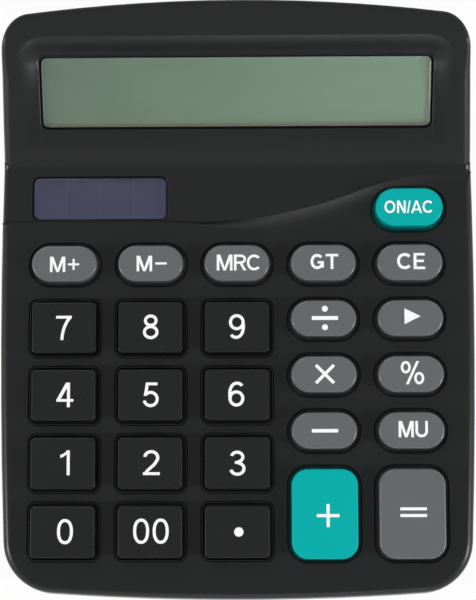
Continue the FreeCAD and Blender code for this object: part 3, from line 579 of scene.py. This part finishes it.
def roll(reach, steps=14, drop=1.19):
    """Section above the keypad's roll down to the valley."""
    fall = [(reach * (k / steps - 1), 0.004 - drop * (k / steps) ** 2) for k in range(steps + 1)]
    return [(-reach - 0.3, 0.05)] + fall + [(0.6, -1.12), (0.6, 1.0), (-reach - 0.3, 1.0)]


def crisp(_):
    """Section that squares the edge where the roll is short, the same for each reach."""
    return [(-1.3, -0.004), (-0.06, -0.004), (-0.06, -1.6), (-1.3, -1.6)]


def bezel(reach=5.8, corner=1.5, clear=0.004):
    """Cutter whose underside is the soft surround of the display, deepest behind it."""
    work = Body(SCREEN)
    slope = math.tan(math.radians(HEAD_TILT))
    half, rear = DISPLAY[2] / 2 + SEAM, DISPLAY[3] / 2 + SEAM
    xs = [half / 60 * i for i in range(-69, 70)]
    ys = [rear + 0.8 * i for i in range(-32, 9)]
    rows = []
    for y in ys:
        row = []
        for x in xs:
            side, back = abs(x) - half + corner, y - rear + corner
            out = math.hypot(max(side, 0), max(back, 0)) + min(max(side, back), 0) - corner
            share = min(max(out / reach, 0.0), 1.0)
            rise = max(y - SCREEN_FOOT, 0.0) * slope * share * (1 + share * (1 - share))
            row.append(work.mesh.verts.new((x, y, rise + clear + 0.08 * max(out - reach, 0.0))))
        rows.append(row)
    roof = [work.mesh.verts.new((x, y, 12.0)) for x, y in
            ((xs[0], ys[0]), (xs[-1], ys[0]), (xs[-1], ys[-1]), (xs[0], ys[-1]))]
    for a, b in zip(rows, rows[1:]):
        for i in range(len(a) - 1):
            work.mesh.faces.new((a[i], b[i], b[i + 1], a[i + 1]))
    front, rear = rows[0], rows[-1]
    left, right = [r[0] for r in rows], [r[-1] for r in rows]
    work.mesh.faces.new(front + [roof[1], roof[0]])
    work.mesh.faces.new(rear[::-1] + [roof[3], roof[2]])
    work.mesh.faces.new(left[::-1] + [roof[0], roof[3]])
    work.mesh.faces.new(right + [roof[2], roof[1]])
    work.mesh.faces.new(roof)
    return work.ready()


RIM_RADIUS = 2.2


def rim_line(mesh, plane, step=1.0, smooth=3):
    """Outline of a form just below its rim, anticlockwise in even steps: (point, outward)."""
    work = bmesh.new()
    work.from_mesh(mesh)
    every = [*work.verts, *work.edges, *work.faces]
    low = plane @ Vector((0, 0, -RIM_RADIUS * MM))
    cut = bmesh.ops.bisect_plane(work, geom=every, plane_co=low, plane_no=upward(plane))
    back = plane.inverted()
    points = [(back @ v.co).to_2d() / MM for v in cut["geom_cut"] if isinstance(v, bmesh.types.BMVert)]
    work.free()
    hull = [points[i] for i in convex_hull_2d(points)]
    hull = hull if area(hull) > 0 else hull[::-1]
    line, left = [], 0.0
    for a, b in zip(hull, hull[1:] + hull[:1]):
        length = (b - a).length
        while left < length:
            line.append(a.lerp(b, left / length))
            left += step
        left -= length
    even = []
    for i, here in enumerate(line):
        along = (line[(i + smooth) % len(line)] - line[i - smooth]).normalized()
        even.append((here, Vector((along.y, -along.x))))
    start = max(range(len(even)), key=lambda i: even[i][0].y)
    return even[start:] + even[:start]


def softened(mesh, plane, line, packed=1.3, fade=9.0, end=99.0):
    """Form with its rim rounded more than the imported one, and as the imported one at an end."""
    rows = []
    for here, out in line:
        radius = packed + (RIM_RADIUS - packed) * eased((end - here.y) / fade)
        centre = 0.006 - radius
        section = [(centre + radius * math.cos(a), centre + radius * math.sin(a))
                   for a in [math.radians(9 * k) for k in range(11)]]
        section += [(-radius, 1.0), (2.0, 1.0), (2.0, -radius)]
        rows.append([(*(here + out * across), z) for across, z in section])
    return cut_away(mesh, Body(plane).skin(rows).ready())


whole = carried("top_case")
upper = joined(whole, along_wave(crisp, CRISP_START, CRISP_END))
for tool in (along_wave(roll), bezel(), collars(), opening(SCREEN, DISPLAY, 0.0, SEAM),
             opening(KEYPAD, SOLAR, VALLEY, SOLAR_SEAM)):
    upper = cut_away(upper, tool)
rim = [(here, out) for here, out in rim_line(whole, KEYPAD)
       if here.y < (WAVE_HIGH - 0.1 if here.x > 0 else WAVE_LOW - 0.05)]
upper = softened(upper, KEYPAD, rim)
sides = [(here, out) for here, out in rim_line(whole, HEAD) if abs(out.x) > 0.98 and here.y > -5.6]
for side in (-1, 1):
    line = [(here, out) for here, out in sides if here.x * side > 0]
    upper = softened(upper, HEAD, line, end=max(here.y for here, out in line))
piece("top_case_form", upper, "case", "case_plastic", ("top_case",))


# Keys

EDGE = {"key_black": 0.3, "key_grey": 0.55, "key_teal": 0.5}
KEY_WALL, FLANGE, ROOF, PLUNGER = 1.3, 0.7, 1.9, 1.5


def key_piece(name, x, y, width, height, radius, steps=10):
    """Hollow cap in one skin from its inside roof round the flange to the top, and its plunger."""
    finish = key_finish(name)
    edge = EDGE[finish]
    inside = rounded(width - 2 * KEY_WALL - 0.6 * radius, height - 2 * KEY_WALL, 0.4, steps)
    flange = rounded(width + 2 * FLANGE, height + 2 * FLANGE, 0.3, steps)
    rings = [(inside, ROOF), (inside, FLANGE_LOW), (flange, FLANGE_LOW), (flange, FLANGE_TOP)]
    rings += [(rounded(width, height, radius, steps), z) for z in (FLANGE_TOP, KEY_RISE - edge)]
    for k in range(1, 7):
        a = math.radians(15 * k)
        inset = edge * (1 - math.cos(a))
        points = rounded(width - 2 * inset, height - 2 * inset, max(radius - inset, 0.2), steps)
        rings.append((points, KEY_RISE - edge * (1 - math.sin(a))))
    work = Body(KEYPAD, x, y).rings(rings)
    work.box(-PLUNGER, PLUNGER, -PLUNGER, PLUNGER, PLUNGER_LOW, ROOF + 0.2)
    piece(name + "_cap", work.ready(), name, finish, (name,), crease=28.0)


for key in KEYS:
    key_piece(*key)


# Legends, drawn as lists of polygons in a box one unit high

def bar(x0, y0, x1, y1):
    """Upright rectangle between two corners."""
    return [[(x0, y0), (x1, y0), (x1, y1), (x0, y1)]]


def beam(x0, x1, y0, x2, x3, y1):
    """Slanting stroke with level ends, from x0 to x1 at y0 and from x2 to x3 at y1."""
    return [[(x0, y0), (x1, y0), (x3, y1), (x2, y1)]]


def stroke(points, t, closed=False):
    """Ribbon of quads along a line of points."""
    points = [Vector(p) for p in points]
    count = len(points)
    sides = []
    for i, p in enumerate(points):
        before = points[i - 1] if i or closed else p
        after = points[(i + 1) % count] if i < count - 1 or closed else p
        along = (after - before).normalized() * t / 2
        sides.append(((p.x - along.y, p.y + along.x), (p.x + along.y, p.y - along.x)))
    pairs = list(zip(sides, sides[1:])) + ([(sides[-1], sides[0])] if closed else [])
    return [[a[0], a[1], b[1], b[0]] for a, b in pairs]


def curve(cx, cy, rx, ry, start, end, t, power=2.0, steps=28):
    """Points along part of a squarish ellipse whose outside has the given radii."""
    points = []
    for k in range(steps + 1):
        a = math.radians(start + (end - start) * k / steps)
        c, s = math.cos(a), math.sin(a)
        x = math.copysign(abs(c) ** (2 / power), c) * (rx - t / 2)
        y = math.copysign(abs(s) ** (2 / power), s) * (ry - t / 2)
        points.append((cx + x, cy + y))
    return points


def bow(cx, cy, rx, ry, start, end, t, power=2.0):
    """Open stroke along part of an ellipse."""
    return stroke(curve(cx, cy, rx, ry, start, end, t, power), t)


def loop(cx, cy, rx, ry, t, power=2.0):
    """Closed stroke round an ellipse."""
    return stroke(curve(cx, cy, rx, ry, 0, 360, t, power, 48)[:-1], t, True)


def disc(cx, cy, radius, steps=32):
    """Filled circle."""
    angles = [2 * math.pi * k / steps for k in range(steps)]
    return [[(cx + radius * math.cos(a), cy + radius * math.sin(a)) for a in angles]]


def moved(shapes, dx):
    """Shapes shifted sideways."""
    return [[(x + dx, y) for x, y in shape] for shape in shapes]


def turned_over(shapes, width):
    """Shapes turned by half a turn."""
    return [[(width - x, 1 - y) for x, y in shape] for shape in shapes]


def six(t):
    """Figure six, which makes a nine when it is turned over."""
    return loop(0.335, 0.325, 0.31, 0.325, t) + bow(0.36, 0.5, 0.345, 0.5, 48, 200, t, 2.15)


DIGITS = {
    "0": lambda t: loop(0.32, 0.5, 0.32, 0.5, t, 2.25),
    "1": lambda t: bar(0.385 - t, 0, 0.385, 1) + [[
        (0.0, 0.69), (0.13, 0.745), (0.385 - t, 0.84), (0.385 - 0.2 * t, 1.0), (0.27, 1.0),
        (0.2, 0.92), (0.11, 0.86), (0.0, 0.825)]],
    "2": lambda t: stroke(
        curve(0.335, 0.7, 0.315, 0.3, 172, -28, t)
        + [(0.45, 0.42), (0.33, 0.31), (0.2, 0.19), (0.11, 0.06)], t) + bar(0.015, 0, 0.67, 0.93 * t),
    "3": lambda t: bow(0.31, 0.745, 0.285, 0.255, 165, -85, t) + bow(0.32, 0.285, 0.32, 0.285, 85, -168, t)
    + bar(0.22, 0.53 - 0.45 * t, 0.34, 0.53 + 0.45 * t),
    "4": lambda t: bar(0.43, 0, 0.43 + t, 1) + bar(0, 0.225, 0.69, 0.225 + 0.9 * t)
    + beam(0, 0.155, 0.3, 0.43 + t - 0.165, 0.43 + t, 1),
    "5": lambda t: bar(0.14, 1 - 0.92 * t, 0.595, 1) + beam(0.035, 0.17, 0.46, 0.125, 0.25, 1)
    + bow(0.315, 0.33, 0.33, 0.33, 142, -166, t),
    "6": six,
    "7": lambda t: bar(0, 1 - 0.95 * t, 0.645, 1) + stroke(
        [(0.57, 0.93), (0.46, 0.78), (0.37, 0.6), (0.3, 0.4), (0.26, 0.2), (0.245, 0)], t),
    "8": lambda t: loop(0.32, 0.75, 0.28, 0.25, t) + loop(0.32, 0.285, 0.32, 0.285, t),
    "9": lambda t: turned_over(six(t), 0.65),
}


def letter(name, w, t):
    """Bold capital or sign of a given width and stroke. Any name that isn't listed makes a minus."""
    if name == "M":
        return bar(0, 0, t, 1) + bar(w - t, 0, w, 1) + beam(
            w / 2 - 0.45 * t, w / 2 + 0.45 * t, 0, 0.05 * t, 1.35 * t, 1) + beam(
            w / 2 - 0.45 * t, w / 2 + 0.45 * t, 0, w - 1.35 * t, w - 0.05 * t, 1)
    if name == "R":
        return bar(0, 0, t, 1) + bar(0.5 * t, 1 - 0.9 * t, w * 0.55, 1) + bar(
            0.5 * t, 0.42, w * 0.6, 0.42 + 0.9 * t) + bow(
            w * 0.55, 0.71, w * 0.42, 0.29, 90, -90, 0.95 * t) + beam(
            w - 1.15 * t, w, 0, w * 0.42, w * 0.42 + 1.1 * t, 0.48)
    if name == "C":
        return bow(w * 0.56, 0.5, w * 0.56, 0.5, 42, 318, t, 2.1)
    if name == "G":
        return bow(w / 2, 0.5, w / 2, 0.5, 42, 335, t, 2.1) + bar(
            w * 0.54, 0.37, w, 0.37 + 0.85 * t) + bar(w - 0.95 * t, 0.1, w, 0.45)
    if name == "T":
        return bar(0, 1 - 0.9 * t, w, 1) + bar(w / 2 - t / 2, 0, w / 2 + t / 2, 1)
    if name == "E":
        return bar(0, 0, t, 1) + bar(0, 0, w, 0.85 * t) + bar(0, 1 - 0.85 * t, w * 0.97, 1) + bar(
            0, 0.51 - 0.42 * t, w * 0.9, 0.51 + 0.42 * t)
    if name == "U":
        return bar(0, 0.36, t, 1) + bar(w - t, 0.36, w, 1) + bow(w / 2, 0.37, w / 2, 0.37, 180, 360, t)
    if name == "O":
        return loop(w / 2, 0.5, w / 2, 0.5, t, 2.1)
    if name == "N":
        return bar(0, 0, t, 1) + bar(w - t, 0, w, 1) + beam(w - 1.2 * t, w, 0, 0, 1.2 * t, 1)
    if name == "A":
        return beam(0, 1.05 * t, 0, w / 2 - 0.55 * t, w / 2 + 0.5 * t, 1) + beam(
            w - 1.05 * t, w, 0, w / 2 - 0.5 * t, w / 2 + 0.55 * t, 1) + bar(
            w * 0.2, 0.21, w * 0.8, 0.21 + 0.8 * t)
    if name == "/":
        return beam(0, 0.75 * t, 0, w - 0.75 * t, w, 1)
    if name == "+":
        return bar(0, 0.5 - 0.4 * t, w, 0.5 + 0.4 * t) + bar(
            w / 2 - 0.4 * t, 0.5 - w / 2, w / 2 + 0.4 * t, 0.5 + w / 2)
    return bar(0, 0.5 - 0.42 * t, w, 0.5 + 0.42 * t)


def word(letters, t=0.165):
    """Letters side by side: (name, width, gap before)."""
    shapes, x = [], 0.0
    for name, width, gap in letters:
        shapes += moved(letter(name, width, t), x + gap)
        x += gap + width
    return shapes


def crossed(size, t):
    """Multiply sign from two slanting bars."""
    arm = (size * math.sqrt(2) - t) / 2 / math.sqrt(2)
    return stroke([(-arm, -arm), (arm, arm)], t) + stroke([(-arm, arm), (arm, -arm)], t)


# Each legend: shapes, then the centre's x and y on the key, width and height in millimetres
DIGIT_STROKE = 0.122
DIGIT_PLACES = {
    "7": (0.03, -0.11, 3.9, 6.06), "8": (0.11, 0.1, 3.86, 6.14), "9": (-0.01, 0.1, 3.96, 6.14),
    "4": (0.41, 0.06, 4.2, 6.08), "5": (0.17, 0.03, 3.94, 6.1), "6": (-0.2, 0.15, 3.98, 6.16),
    "1": (0.57, 0.15, 2.33, 6.1), "2": (0.38, 0.15, 4.14, 6.1), "3": (0.07, -0.05, 3.94, 6.16),
    "0": (0.69, 0.13, 3.92, 6.14),
}
ZERO = DIGITS["0"](DIGIT_STROKE)
LEGENDS = {"key_" + name: (DIGITS[name](DIGIT_STROKE), *place) for name, place in DIGIT_PLACES.items()}
LEGENDS |= {
    "key_00": (ZERO + moved(ZERO, 0.78), 0.3, 0.2, 8.74, 6.16),
    "key_point": (disc(0, 0, 1), 0.35, -0.03, 2.3, 2.3),
    "key_memory_plus": (word([("M", 0.98, 0), ("+", 0.72, 0.17)]), 0.09, -0.2, 7.3, 3.88),
    "key_memory_minus": (word([("M", 0.98, 0), ("-", 0.72, 0.2)]), 0.3, -0.07, 7.5, 3.9),
    "key_memory_recall": (word([("M", 1.0, 0), ("R", 0.8, 0.09), ("C", 0.83, 0.02)]),
                          0.34, 0.08, 10.66, 4.0),
    "key_grand_total": (word([("G", 0.88, 0), ("T", 0.83, 0.12)], 0.185), 0.28, 0.24, 6.9, 3.8),
    "key_clear_entry": (word([("C", 0.88, 0), ("E", 0.73, 0.17)], 0.185), 0.29, 0.26, 6.96, 4.05),
    "key_mark_up": (word([("M", 0.95, 0), ("U", 0.78, 0.1)]), 0.33, 0.29, 7.2, 4.02),
    "key_on_clear": (word([("O", 0.92, 0), ("N", 0.74, 0.15), ("/", 0.32, 0.1), ("A", 0.93, 0.03),
                           ("C", 0.85, 0.05)], 0.168), -0.2, 0.01, 11.9, 3.14),
    "key_divide": (bar(-3.25, -0.48, 3.25, 0.48) + disc(0, 2.3, 0.74) + disc(0, -2.3, 0.74),
                   0.3, 0.03, 6.5, 6.08),
    "key_multiply": (crossed(5.0, 0.78), 0.22, 0.03, 5.0, 5.0),
    "key_subtract": (bar(-1, -0.16, 1, 0.16), 0.14, -0.05, 6.5, 0.86),
    "key_add": (bar(-2.8, -0.38, 2.8, 0.38) + bar(-0.38, -2.8, 0.38, 2.8), 0.75, -0.4, 5.56, 5.6),
    "key_equals": (bar(-3.25, 0.45, 3.25, 1.18) + bar(-3.25, -1.18, 3.25, -0.45), 0.19, 0.4, 6.5, 2.36),
    "key_backspace": ([[(0, 0), (1, 0.5), (0, 1)]], 0.5, 0.4, 4.0, 3.95),
    "key_percent": (loop(0.215, 0.735, 0.215, 0.265, 0.11) + loop(0.785, 0.265, 0.215, 0.265, 0.11)
                    + beam(0.21, 0.33, 0, 0.67, 0.79, 1), 0.31, 0.3, 5.76, 5.78),
}


def fitted(shapes, cx, cy, width, height):
    """Shapes stretched to a size and centred on a place."""
    xs = [p[0] for shape in shapes for p in shape]
    ys = [p[1] for shape in shapes for p in shape]
    kx, ky = width / (max(xs) - min(xs)), height / (max(ys) - min(ys))
    mx, my = (max(xs) + min(xs)) / 2, (max(ys) + min(ys)) / 2
    return [[(cx + (x - mx) * kx, cy + (y - my) * ky) for x, y in shape] for shape in shapes]


def printed(shapes, z, depth):
    """Shapes merged into one thin raised body."""
    points, faces = [], []
    for shape in shapes:
        shape = shape if area(shape) > 0 else shape[::-1]
        faces.append(list(range(len(points), len(points) + len(shape))))
        points += [Vector(p) for p in shape]
    corners, _, every, _, _, owners = delaunay_2d_cdt(points, [], faces, 1, 1e-5)
    body = Body(KEYPAD)
    work = body.mesh
    top = [work.verts.new((*p, z)) for p in corners]
    low = [work.verts.new((*p, z - depth)) for p in corners]
    for face, owner in zip(every, owners):
        if owner:
            work.faces.new([top[i] for i in face])
            work.faces.new([low[i] for i in face[::-1]])
    under = dict(zip(top, low))
    for a, b in [edge.verts for edge in work.edges if edge.is_boundary and edge.verts[0] in under]:
        work.faces.new((a, b, under[b], under[a]))
    bmesh.ops.delete(work, geom=[v for v in work.verts if not v.link_faces], context="VERTS")
    return body.ready()


def legend(name, x, y):
    """Print that stands a hair over its key and sinks into it."""
    shapes, dx, dy, width, height = LEGENDS[name]
    mesh = printed(fitted(shapes, x + dx, y + dy, width, height), KEY_RISE + 0.012, 0.06)
    piece(name.replace("key", "legend"), mesh, name, "legend")


for key in KEYS:
    legend(*key[:3])


# What repeats, spread over points by geometry nodes

def spread(name, spots, finish, radius, height, sides, seed=7, uneven=0.0):
    """Small round pieces on points over the keypad's plane: contact pads and solder joints."""
    holder = bpy.data.objects.new(name, bpy.data.meshes.new(name))
    holder.data.from_pydata([KEYPAD @ (Vector(p) * MM) for p in spots], [], [])
    bpy.context.scene.collection.objects.link(holder)
    group = bpy.data.node_groups.new(name + "_spread", "GeometryNodeTree")
    face = group.interface
    face.new_socket("Geometry", in_out="INPUT", socket_type="NodeSocketGeometry")
    values = {"Radius": radius * MM, "Height": height * MM, "Unevenness": uneven}
    sockets = {k: face.new_socket(k, in_out="INPUT", socket_type="NodeSocketFloat") for k in values}
    whole = {"Sides": sides, "Seed": seed}
    sockets.update({k: face.new_socket(k, in_out="INPUT", socket_type="NodeSocketInt") for k in whole})
    face.new_socket("Geometry", in_out="OUTPUT", socket_type="NodeSocketGeometry")
    t = Tree(group)
    source = group.nodes.new("NodeGroupInput")
    take = {o.name: Sock(t, o) for o in source.outputs if o.name}
    cone = t.node("GeometryNodeMeshCone", None, {
        "Vertices": take["Sides"], "Radius Top": take["Radius"] * 0.82, "Radius Bottom": take["Radius"],
        "Depth": take["Height"]})
    vary = t.node("FunctionNodeRandomValue", {"data_type": "FLOAT"}, {
        2: 1.0 - take["Unevenness"], 3: 1.0 + take["Unevenness"], "Seed": take["Seed"]}, out=1)
    placed = t.node("GeometryNodeInstanceOnPoints", None, {
        "Points": take["Geometry"], "Instance": cone, "Rotation": tuple(KEYPAD.to_euler()), "Scale": vary})
    solid = t.node("GeometryNodeRealizeInstances", None, {0: placed})
    dressed = t.node("GeometryNodeSetMaterial", None, {"Geometry": solid, "Material": FINISH[finish]})
    sink = group.nodes.new("NodeGroupOutput")
    group.links.new(dressed.socket, sink.inputs[0])
    run = holder.modifiers.new("spread", "NODES")
    run.node_group = group
    for key, value in {**values, **whole}.items():
        run[sockets[key].identifier] = value
    apply(holder)
    mesh = holder.data
    bpy.data.objects.remove(holder)
    return mesh


pads = [(x, y, BOARD_TOP + 0.03) for _, x, y, *_ in KEYS]
piece("contact_pads", spread("pads", pads, "carbon", 1.5, 0.06, 24), "case", "carbon")

# Two joints under every second key, and two more at each side towards the rear
JOINT_Z = BOARD_LOW - 0.2
joints = [(x + dx, y + dy, JOINT_Z) for _, x, y, *_ in KEYS[::2] for dx, dy in ((2.4, 1.2), (-2.6, -0.8))]
joints += [(side * 34.0, 26.0 + dy, JOINT_Z) for side in (-1, 1) for dy in (-1.4, 1.4)]
piece("solder_joints", spread("joints", joints, "metal", 0.55, 0.5, 14, 11, 0.25), "case", "metal")


# Keypad rubber: flat sheet, and a dome for each key

def rubber_sheet():
    """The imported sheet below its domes, closed where they stood."""
    mesh = carried("keypad_membrane")
    work = bmesh.new()
    work.from_mesh(mesh)
    at = KEYPAD @ Vector((0, 0, (SHEET_TOP + 0.004) * MM))
    every = [*work.verts, *work.edges, *work.faces]
    bmesh.ops.bisect_plane(work, geom=every, plane_co=at, plane_no=LIFT, clear_outer=True)
    open_edges = [e for e in work.edges if e.is_boundary]
    bmesh.ops.triangle_fill(work, edges=open_edges, use_beauty=True, normal=LIFT)
    work.to_mesh(mesh)
    work.free()
    return mesh


piece("rubber_sheet", rubber_sheet(), "case", "silicone", ("keypad_membrane",))


def dome(name, x, y, steps=6):
    """Hollow dome from its inside to its outside, open below, as (half width, z)."""
    wall = [(3.2, SHEET_TOP), (3.12, SHEET_TOP + 0.2), (2.15, DOME_TOP - 0.15), (2.0, DOME_TOP),
            (0.01, DOME_TOP)]
    roof = [(0.01, DOME_TOP - 0.6), (1.3, DOME_TOP - 0.6), (1.5, DOME_TOP - 0.8), (2.25, SHEET_TOP)]
    rings = [(rounded(2 * half, 2 * half, min(half * 0.5, 0.9), steps), z) for half, z in roof + wall]
    mesh = Body(KEYPAD, x, y).rings(rings, ends=False).ready()
    made = piece(name.replace("key", "dome"), mesh, "case", "silicone")
    name + "_press"
    KEYPAD @ Vector((x * MM, y * MM, SHEET_TOP * MM))
    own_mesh(made)


for key in KEYS:
    dome(*key[:3])


# Panes with a raised middle that fills the opening, and behind each seam a dark strip of painted shade

def pane(node, plane, place, overlap, low, shelf, top, finish, edge=0.5, steps=6):
    """Pane whose flange lies under the case from low to shelf, with a rounded middle up to the top."""
    flange = outline(*place[:4], 0.4, overlap)
    rings = [(flange, low), (flange, shelf), (outline(*place, 0.0), shelf)]
    for k in range(steps + 1):
        a = math.pi / 2 * k / steps
        rings.append((outline(*place, -edge * (1 - math.cos(a))), top - edge * (1 - math.sin(a))))
    piece(node + "_form", Body(plane).rings(rings).ready(), "case", finish, (node,))


def seam_shade(name, plane, place, gap, shelf, thick=0.04):
    """Dark strip on a pane's flange, seen through the seam: a black printed mask, there as painted shade
    for the seam's dark edge.
    """
    inner, outer = outline(*place, 0.03), outline(*place, gap + 0.3)
    rings = [(inner, shelf), (inner, shelf + thick), (outer, shelf + thick), (outer, shelf), (inner, shelf)]
    piece(name, Body(plane).rings(rings, ends=False).ready(), "case", "carbon")


pane("display_window", SCREEN, DISPLAY, 1.55, -1.8, -0.85, -0.1, "window_clear")
pane("solar_window", KEYPAD, SOLAR, 1.05, -3.05, -1.95, -1.3, "solar_tint")
# Dark strips of painted shade behind the seams
seam_shade("display_seam_shade", SCREEN, DISPLAY, SEAM, -0.85)
seam_shade("solar_seam_shade", KEYPAD, SOLAR, SOLAR_SEAM, -1.95)


# Screws, feet, cell and small marks

SCREW_SPOTS = ((32.25, -65.5), (-32.25, -65.5), (53.9, 40.0), (-53.9, 40.0))
SCREW_HEAD = [(1.3, 3.25), (1.75, 3.35), (1.95, 3.62), (2.0, 4.0), (2.0, 4.6), (0.9, 4.6)]
FOOT_SPOTS = ((46.0, -55.0), (-46.0, -55.0), (46.0, 57.0), (-46.0, 57.0))
FOOT = [(3.2, 0.25), (3.4, 0.05), (3.6, 0.0), (4.6, 0.0), (4.9, 0.12), (5.0, 0.4), (5.0, BASE)]


def cross(x, y, reach, half):
    """Outline of a cross about a place."""
    points = []
    for px, py in ((reach, -half), (reach, half), (half, half)) * 4:
        c, s = ((1, 0), (0, 1), (-1, 0), (0, -1))[len(points) // 3]
        points.append((x + c * px - s * py, y + s * px + c * py))
    return points


def thread(x, y, low=4.4, length=6.3, pitch=0.8, rows=64, sides=16, point=58):
    """Rings of a threaded shank that narrows over its last rows."""
    rings = []
    for k in range(rows):
        z = low + length * k / (rows - 1)
        narrow = 1 - max(k - point, 0) * 0.12
        points = []
        for i in range(sides):
            a = 2 * math.pi * i / sides
            crest = abs(((z / pitch - i / sides) % 1.0) * 2 - 1)
            radius = (0.68 + 0.27 * crest) * narrow
            points.append((x + radius * math.cos(a), y + radius * math.sin(a)))
        rings.append((points, z))
    return rings


def screws():
    """Pan heads with a cross recess, and threaded shanks."""
    work, slots = Body(), Body()
    for x, y in SCREW_SPOTS:
        work.turned(SCREW_HEAD, 40, x, y)
        work.rings(thread(x, y))
        slots.rings([(cross(x, y, 1.15, 0.26), 3.0), (cross(x, y, 0.75, 0.2), 4.0)])
    return cut_away(work.ready(), slots.ready())


piece("screws_form", screws(), "case", "metal", ("case_screws",), crease=35.0)

feet = Body()
for x, y in FOOT_SPOTS:
    feet.turned(FOOT, 56, x, y)
piece("feet_form", feet.ready(), "case", "foot_rubber", ("rubber_feet",))


def cell():
    """Small cylindrical cell: wrapped can, rolled shoulders, flat and raised ends."""
    low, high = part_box("battery_cell")
    start, end = low.x / MM, high.x / MM
    radius = (high.z - low.z) / MM / 2
    body = [(4.6, 0.0), (5.2, 0.0), (6.3, 0.25), (radius - 0.2, 0.3), (radius, 0.6), (radius, 48.4),
            (radius - 0.25, 48.8), (6.2, 49.0), (5.9, 49.2), (2.75, 49.2), (2.75, 50.2), (2.5, end - start)]
    work = Body().turned(body, 64)
    place = Matrix.Translation((start, (low.y + high.y) / 2 / MM, (low.z + high.z) / 2 / MM))
    lying = place @ Matrix.Rotation(math.pi / 2, 4, "Y")
    bmesh.ops.transform(work.mesh, matrix=lying, verts=work.mesh.verts)
    return work.ready()


piece("cell_form", cell(), "case", "cell_wrap", ("battery_cell",))

arrow = Body().rings([([(-3.0, 62.8), (3.0, 62.8), (0.0, 66.6)], z) for z in (BASE - 0.3, BASE + 0.2)])
piece("door_arrow", arrow.ready(), "battery_door", "case_lower_plastic")


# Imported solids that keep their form

carry("bottom_case", "case", "case_lower_plastic")
carry("battery_door", "battery_door", "case_lower_plastic")
for node, finish in {
    "lcd_panel": "display", "lcd_holder": "inner_plastic", "lcd_ribbon": "ribbon_film",
    "solar_cell": "solar_cells", "solar_pad": "foam", "solar_leads": "metal", "main_board": "board",
    "chip_cover": "resin", "capacitor": "resin", "battery_contact_positive": "metal",
    "battery_contact_negative": "metal", "battery_wires": "wire_cover",
}.items():
    carry(node, "case", finish)


# Floor, light and camera. The floor and the lamps are in metres

WHITE = (1.0, 1.0, 1.0, 1.0)
AIM = (0.0, 0.0, 0.02)


def backdrop():
    """Pale paint that camera, glossy and transmission rays see nearly white, and that takes a shadow."""
    paint, t = material("sweep")
    outs = t.node("ShaderNodeLightPath").socket.node.outputs
    by_camera, by_gloss, by_glass = [
        Sock(t, outs[name]) for name in ("Is Camera Ray", "Is Glossy Ray", "Is Transmission Ray")]
    tone = t.blend(t.noise(6.0, 3.0), (0.93, 0.93, 0.93, 1), (0.97, 0.97, 0.97, 1))
    matt = t.surface(Base_Color=tone, Roughness=0.9)
    white = t.node("ShaderNodeEmission", None, {"Color": WHITE, "Strength": 1.0})
    seen = (by_camera + by_gloss + by_glass).clamped() * 0.93
    t.end(t.node("ShaderNodeMixShader", None, {0: seen, 1: matt, 2: white}))
    return paint


def sweep(reach=2.0, bend=0.6, top=1.7, sides=48):
    """Floor that curves up into a low round wall, open above, in metres."""
    angles = [math.radians(15 * k) for k in range(1, 7)]
    profile = [(0.02, 0.0), (reach, 0.0)]
    profile += [(reach + bend * math.sin(a), bend - bend * math.cos(a)) for a in angles]
    profile.append((reach + bend, top))
    turns = [2 * math.pi * k / sides for k in range(sides)]
    points = [(r * math.cos(a), r * math.sin(a), z) for r, z in profile for a in turns]
    faces = [tuple(range(sides))]
    for low in range(0, sides * (len(profile) - 1), sides):
        high = low + sides
        for k in range(sides):
            after = (k + 1) % sides
            faces.append((high + k, high + after, low + after, low + k))
    mesh = bpy.data.meshes.new("sweep")
    mesh.from_pydata(points, [], faces)
    mesh.materials.append(backdrop())
    made = bpy.data.objects.new("sweep", mesh)
    bpy.context.scene.collection.objects.link(made)


def surroundings():
    """Even white light from all sides."""
    world = bpy.data.worlds.new("surroundings")
    bpy.context.scene.world = world
    world.use_nodes = True
    world.node_tree.nodes.clear()
    t = Tree(world.node_tree)
    soft = t.node("ShaderNodeBackground", None, {"Color": WHITE, "Strength": 0.46})
    out = world.node_tree.nodes.new("ShaderNodeOutputWorld")
    world.node_tree.links.new(soft.socket, out.inputs["Surface"])


def softbox(name, place, width, height, power):
    """Area lamp that faces the object."""
    lamp = bpy.data.lights.new(name, "AREA")
    lamp.shape, lamp.size, lamp.size_y, lamp.energy = "RECTANGLE", width, height, power
    made = bpy.data.objects.new(name, lamp)
    bpy.context.scene.collection.objects.link(made)
    made.location = place
    made.rotation_euler = (Vector(AIM) - Vector(place)).to_track_quat("-Z", "Y").to_euler()


def camera(focal_pixels=1812.78, image_pixels=600.0):
    """The photograph's view: its focal length, place, aim and upright."""
    lens = bpy.data.cameras.new("camera")
    lens.sensor_width = 36.0
    lens.lens = focal_pixels * lens.sensor_width / image_pixels
    made = bpy.data.objects.new("camera", lens)
    bpy.context.scene.collection.objects.link(made)
    place = Vector((7.66, -84.62, 463.81)) * MM
    look = (Vector((0.28, 1.0, 22.1)) * MM - place).normalized()
    side = look.cross(Vector((0.0039, 0.9817, 0.1902))).normalized()
    up = side.cross(look)
    turn = Matrix((side, up, -look)).transposed().to_4x4()
    made.matrix_world = Matrix.Translation(place) @ turn
    lens.clip_start, lens.clip_end = 0.01, 20.0
    bpy.context.scene.camera = made


sweep()
surroundings()
softbox("rear_light", (-0.3, 0.66, 0.72), 0.35, 0.35, 1.9)
softbox("left_light", (-0.85, -0.25, 0.45), 0.18, 0.18, 3.6)
softbox("right_light", (0.85, -0.3, 0.45), 0.18, 0.18, 5.0)
softbox("front_light", (0.1, -0.95, 0.3), 0.3, 0.05, 0.4)
camera()
bpy.context.scene.view_settings.view_transform = "Standard"
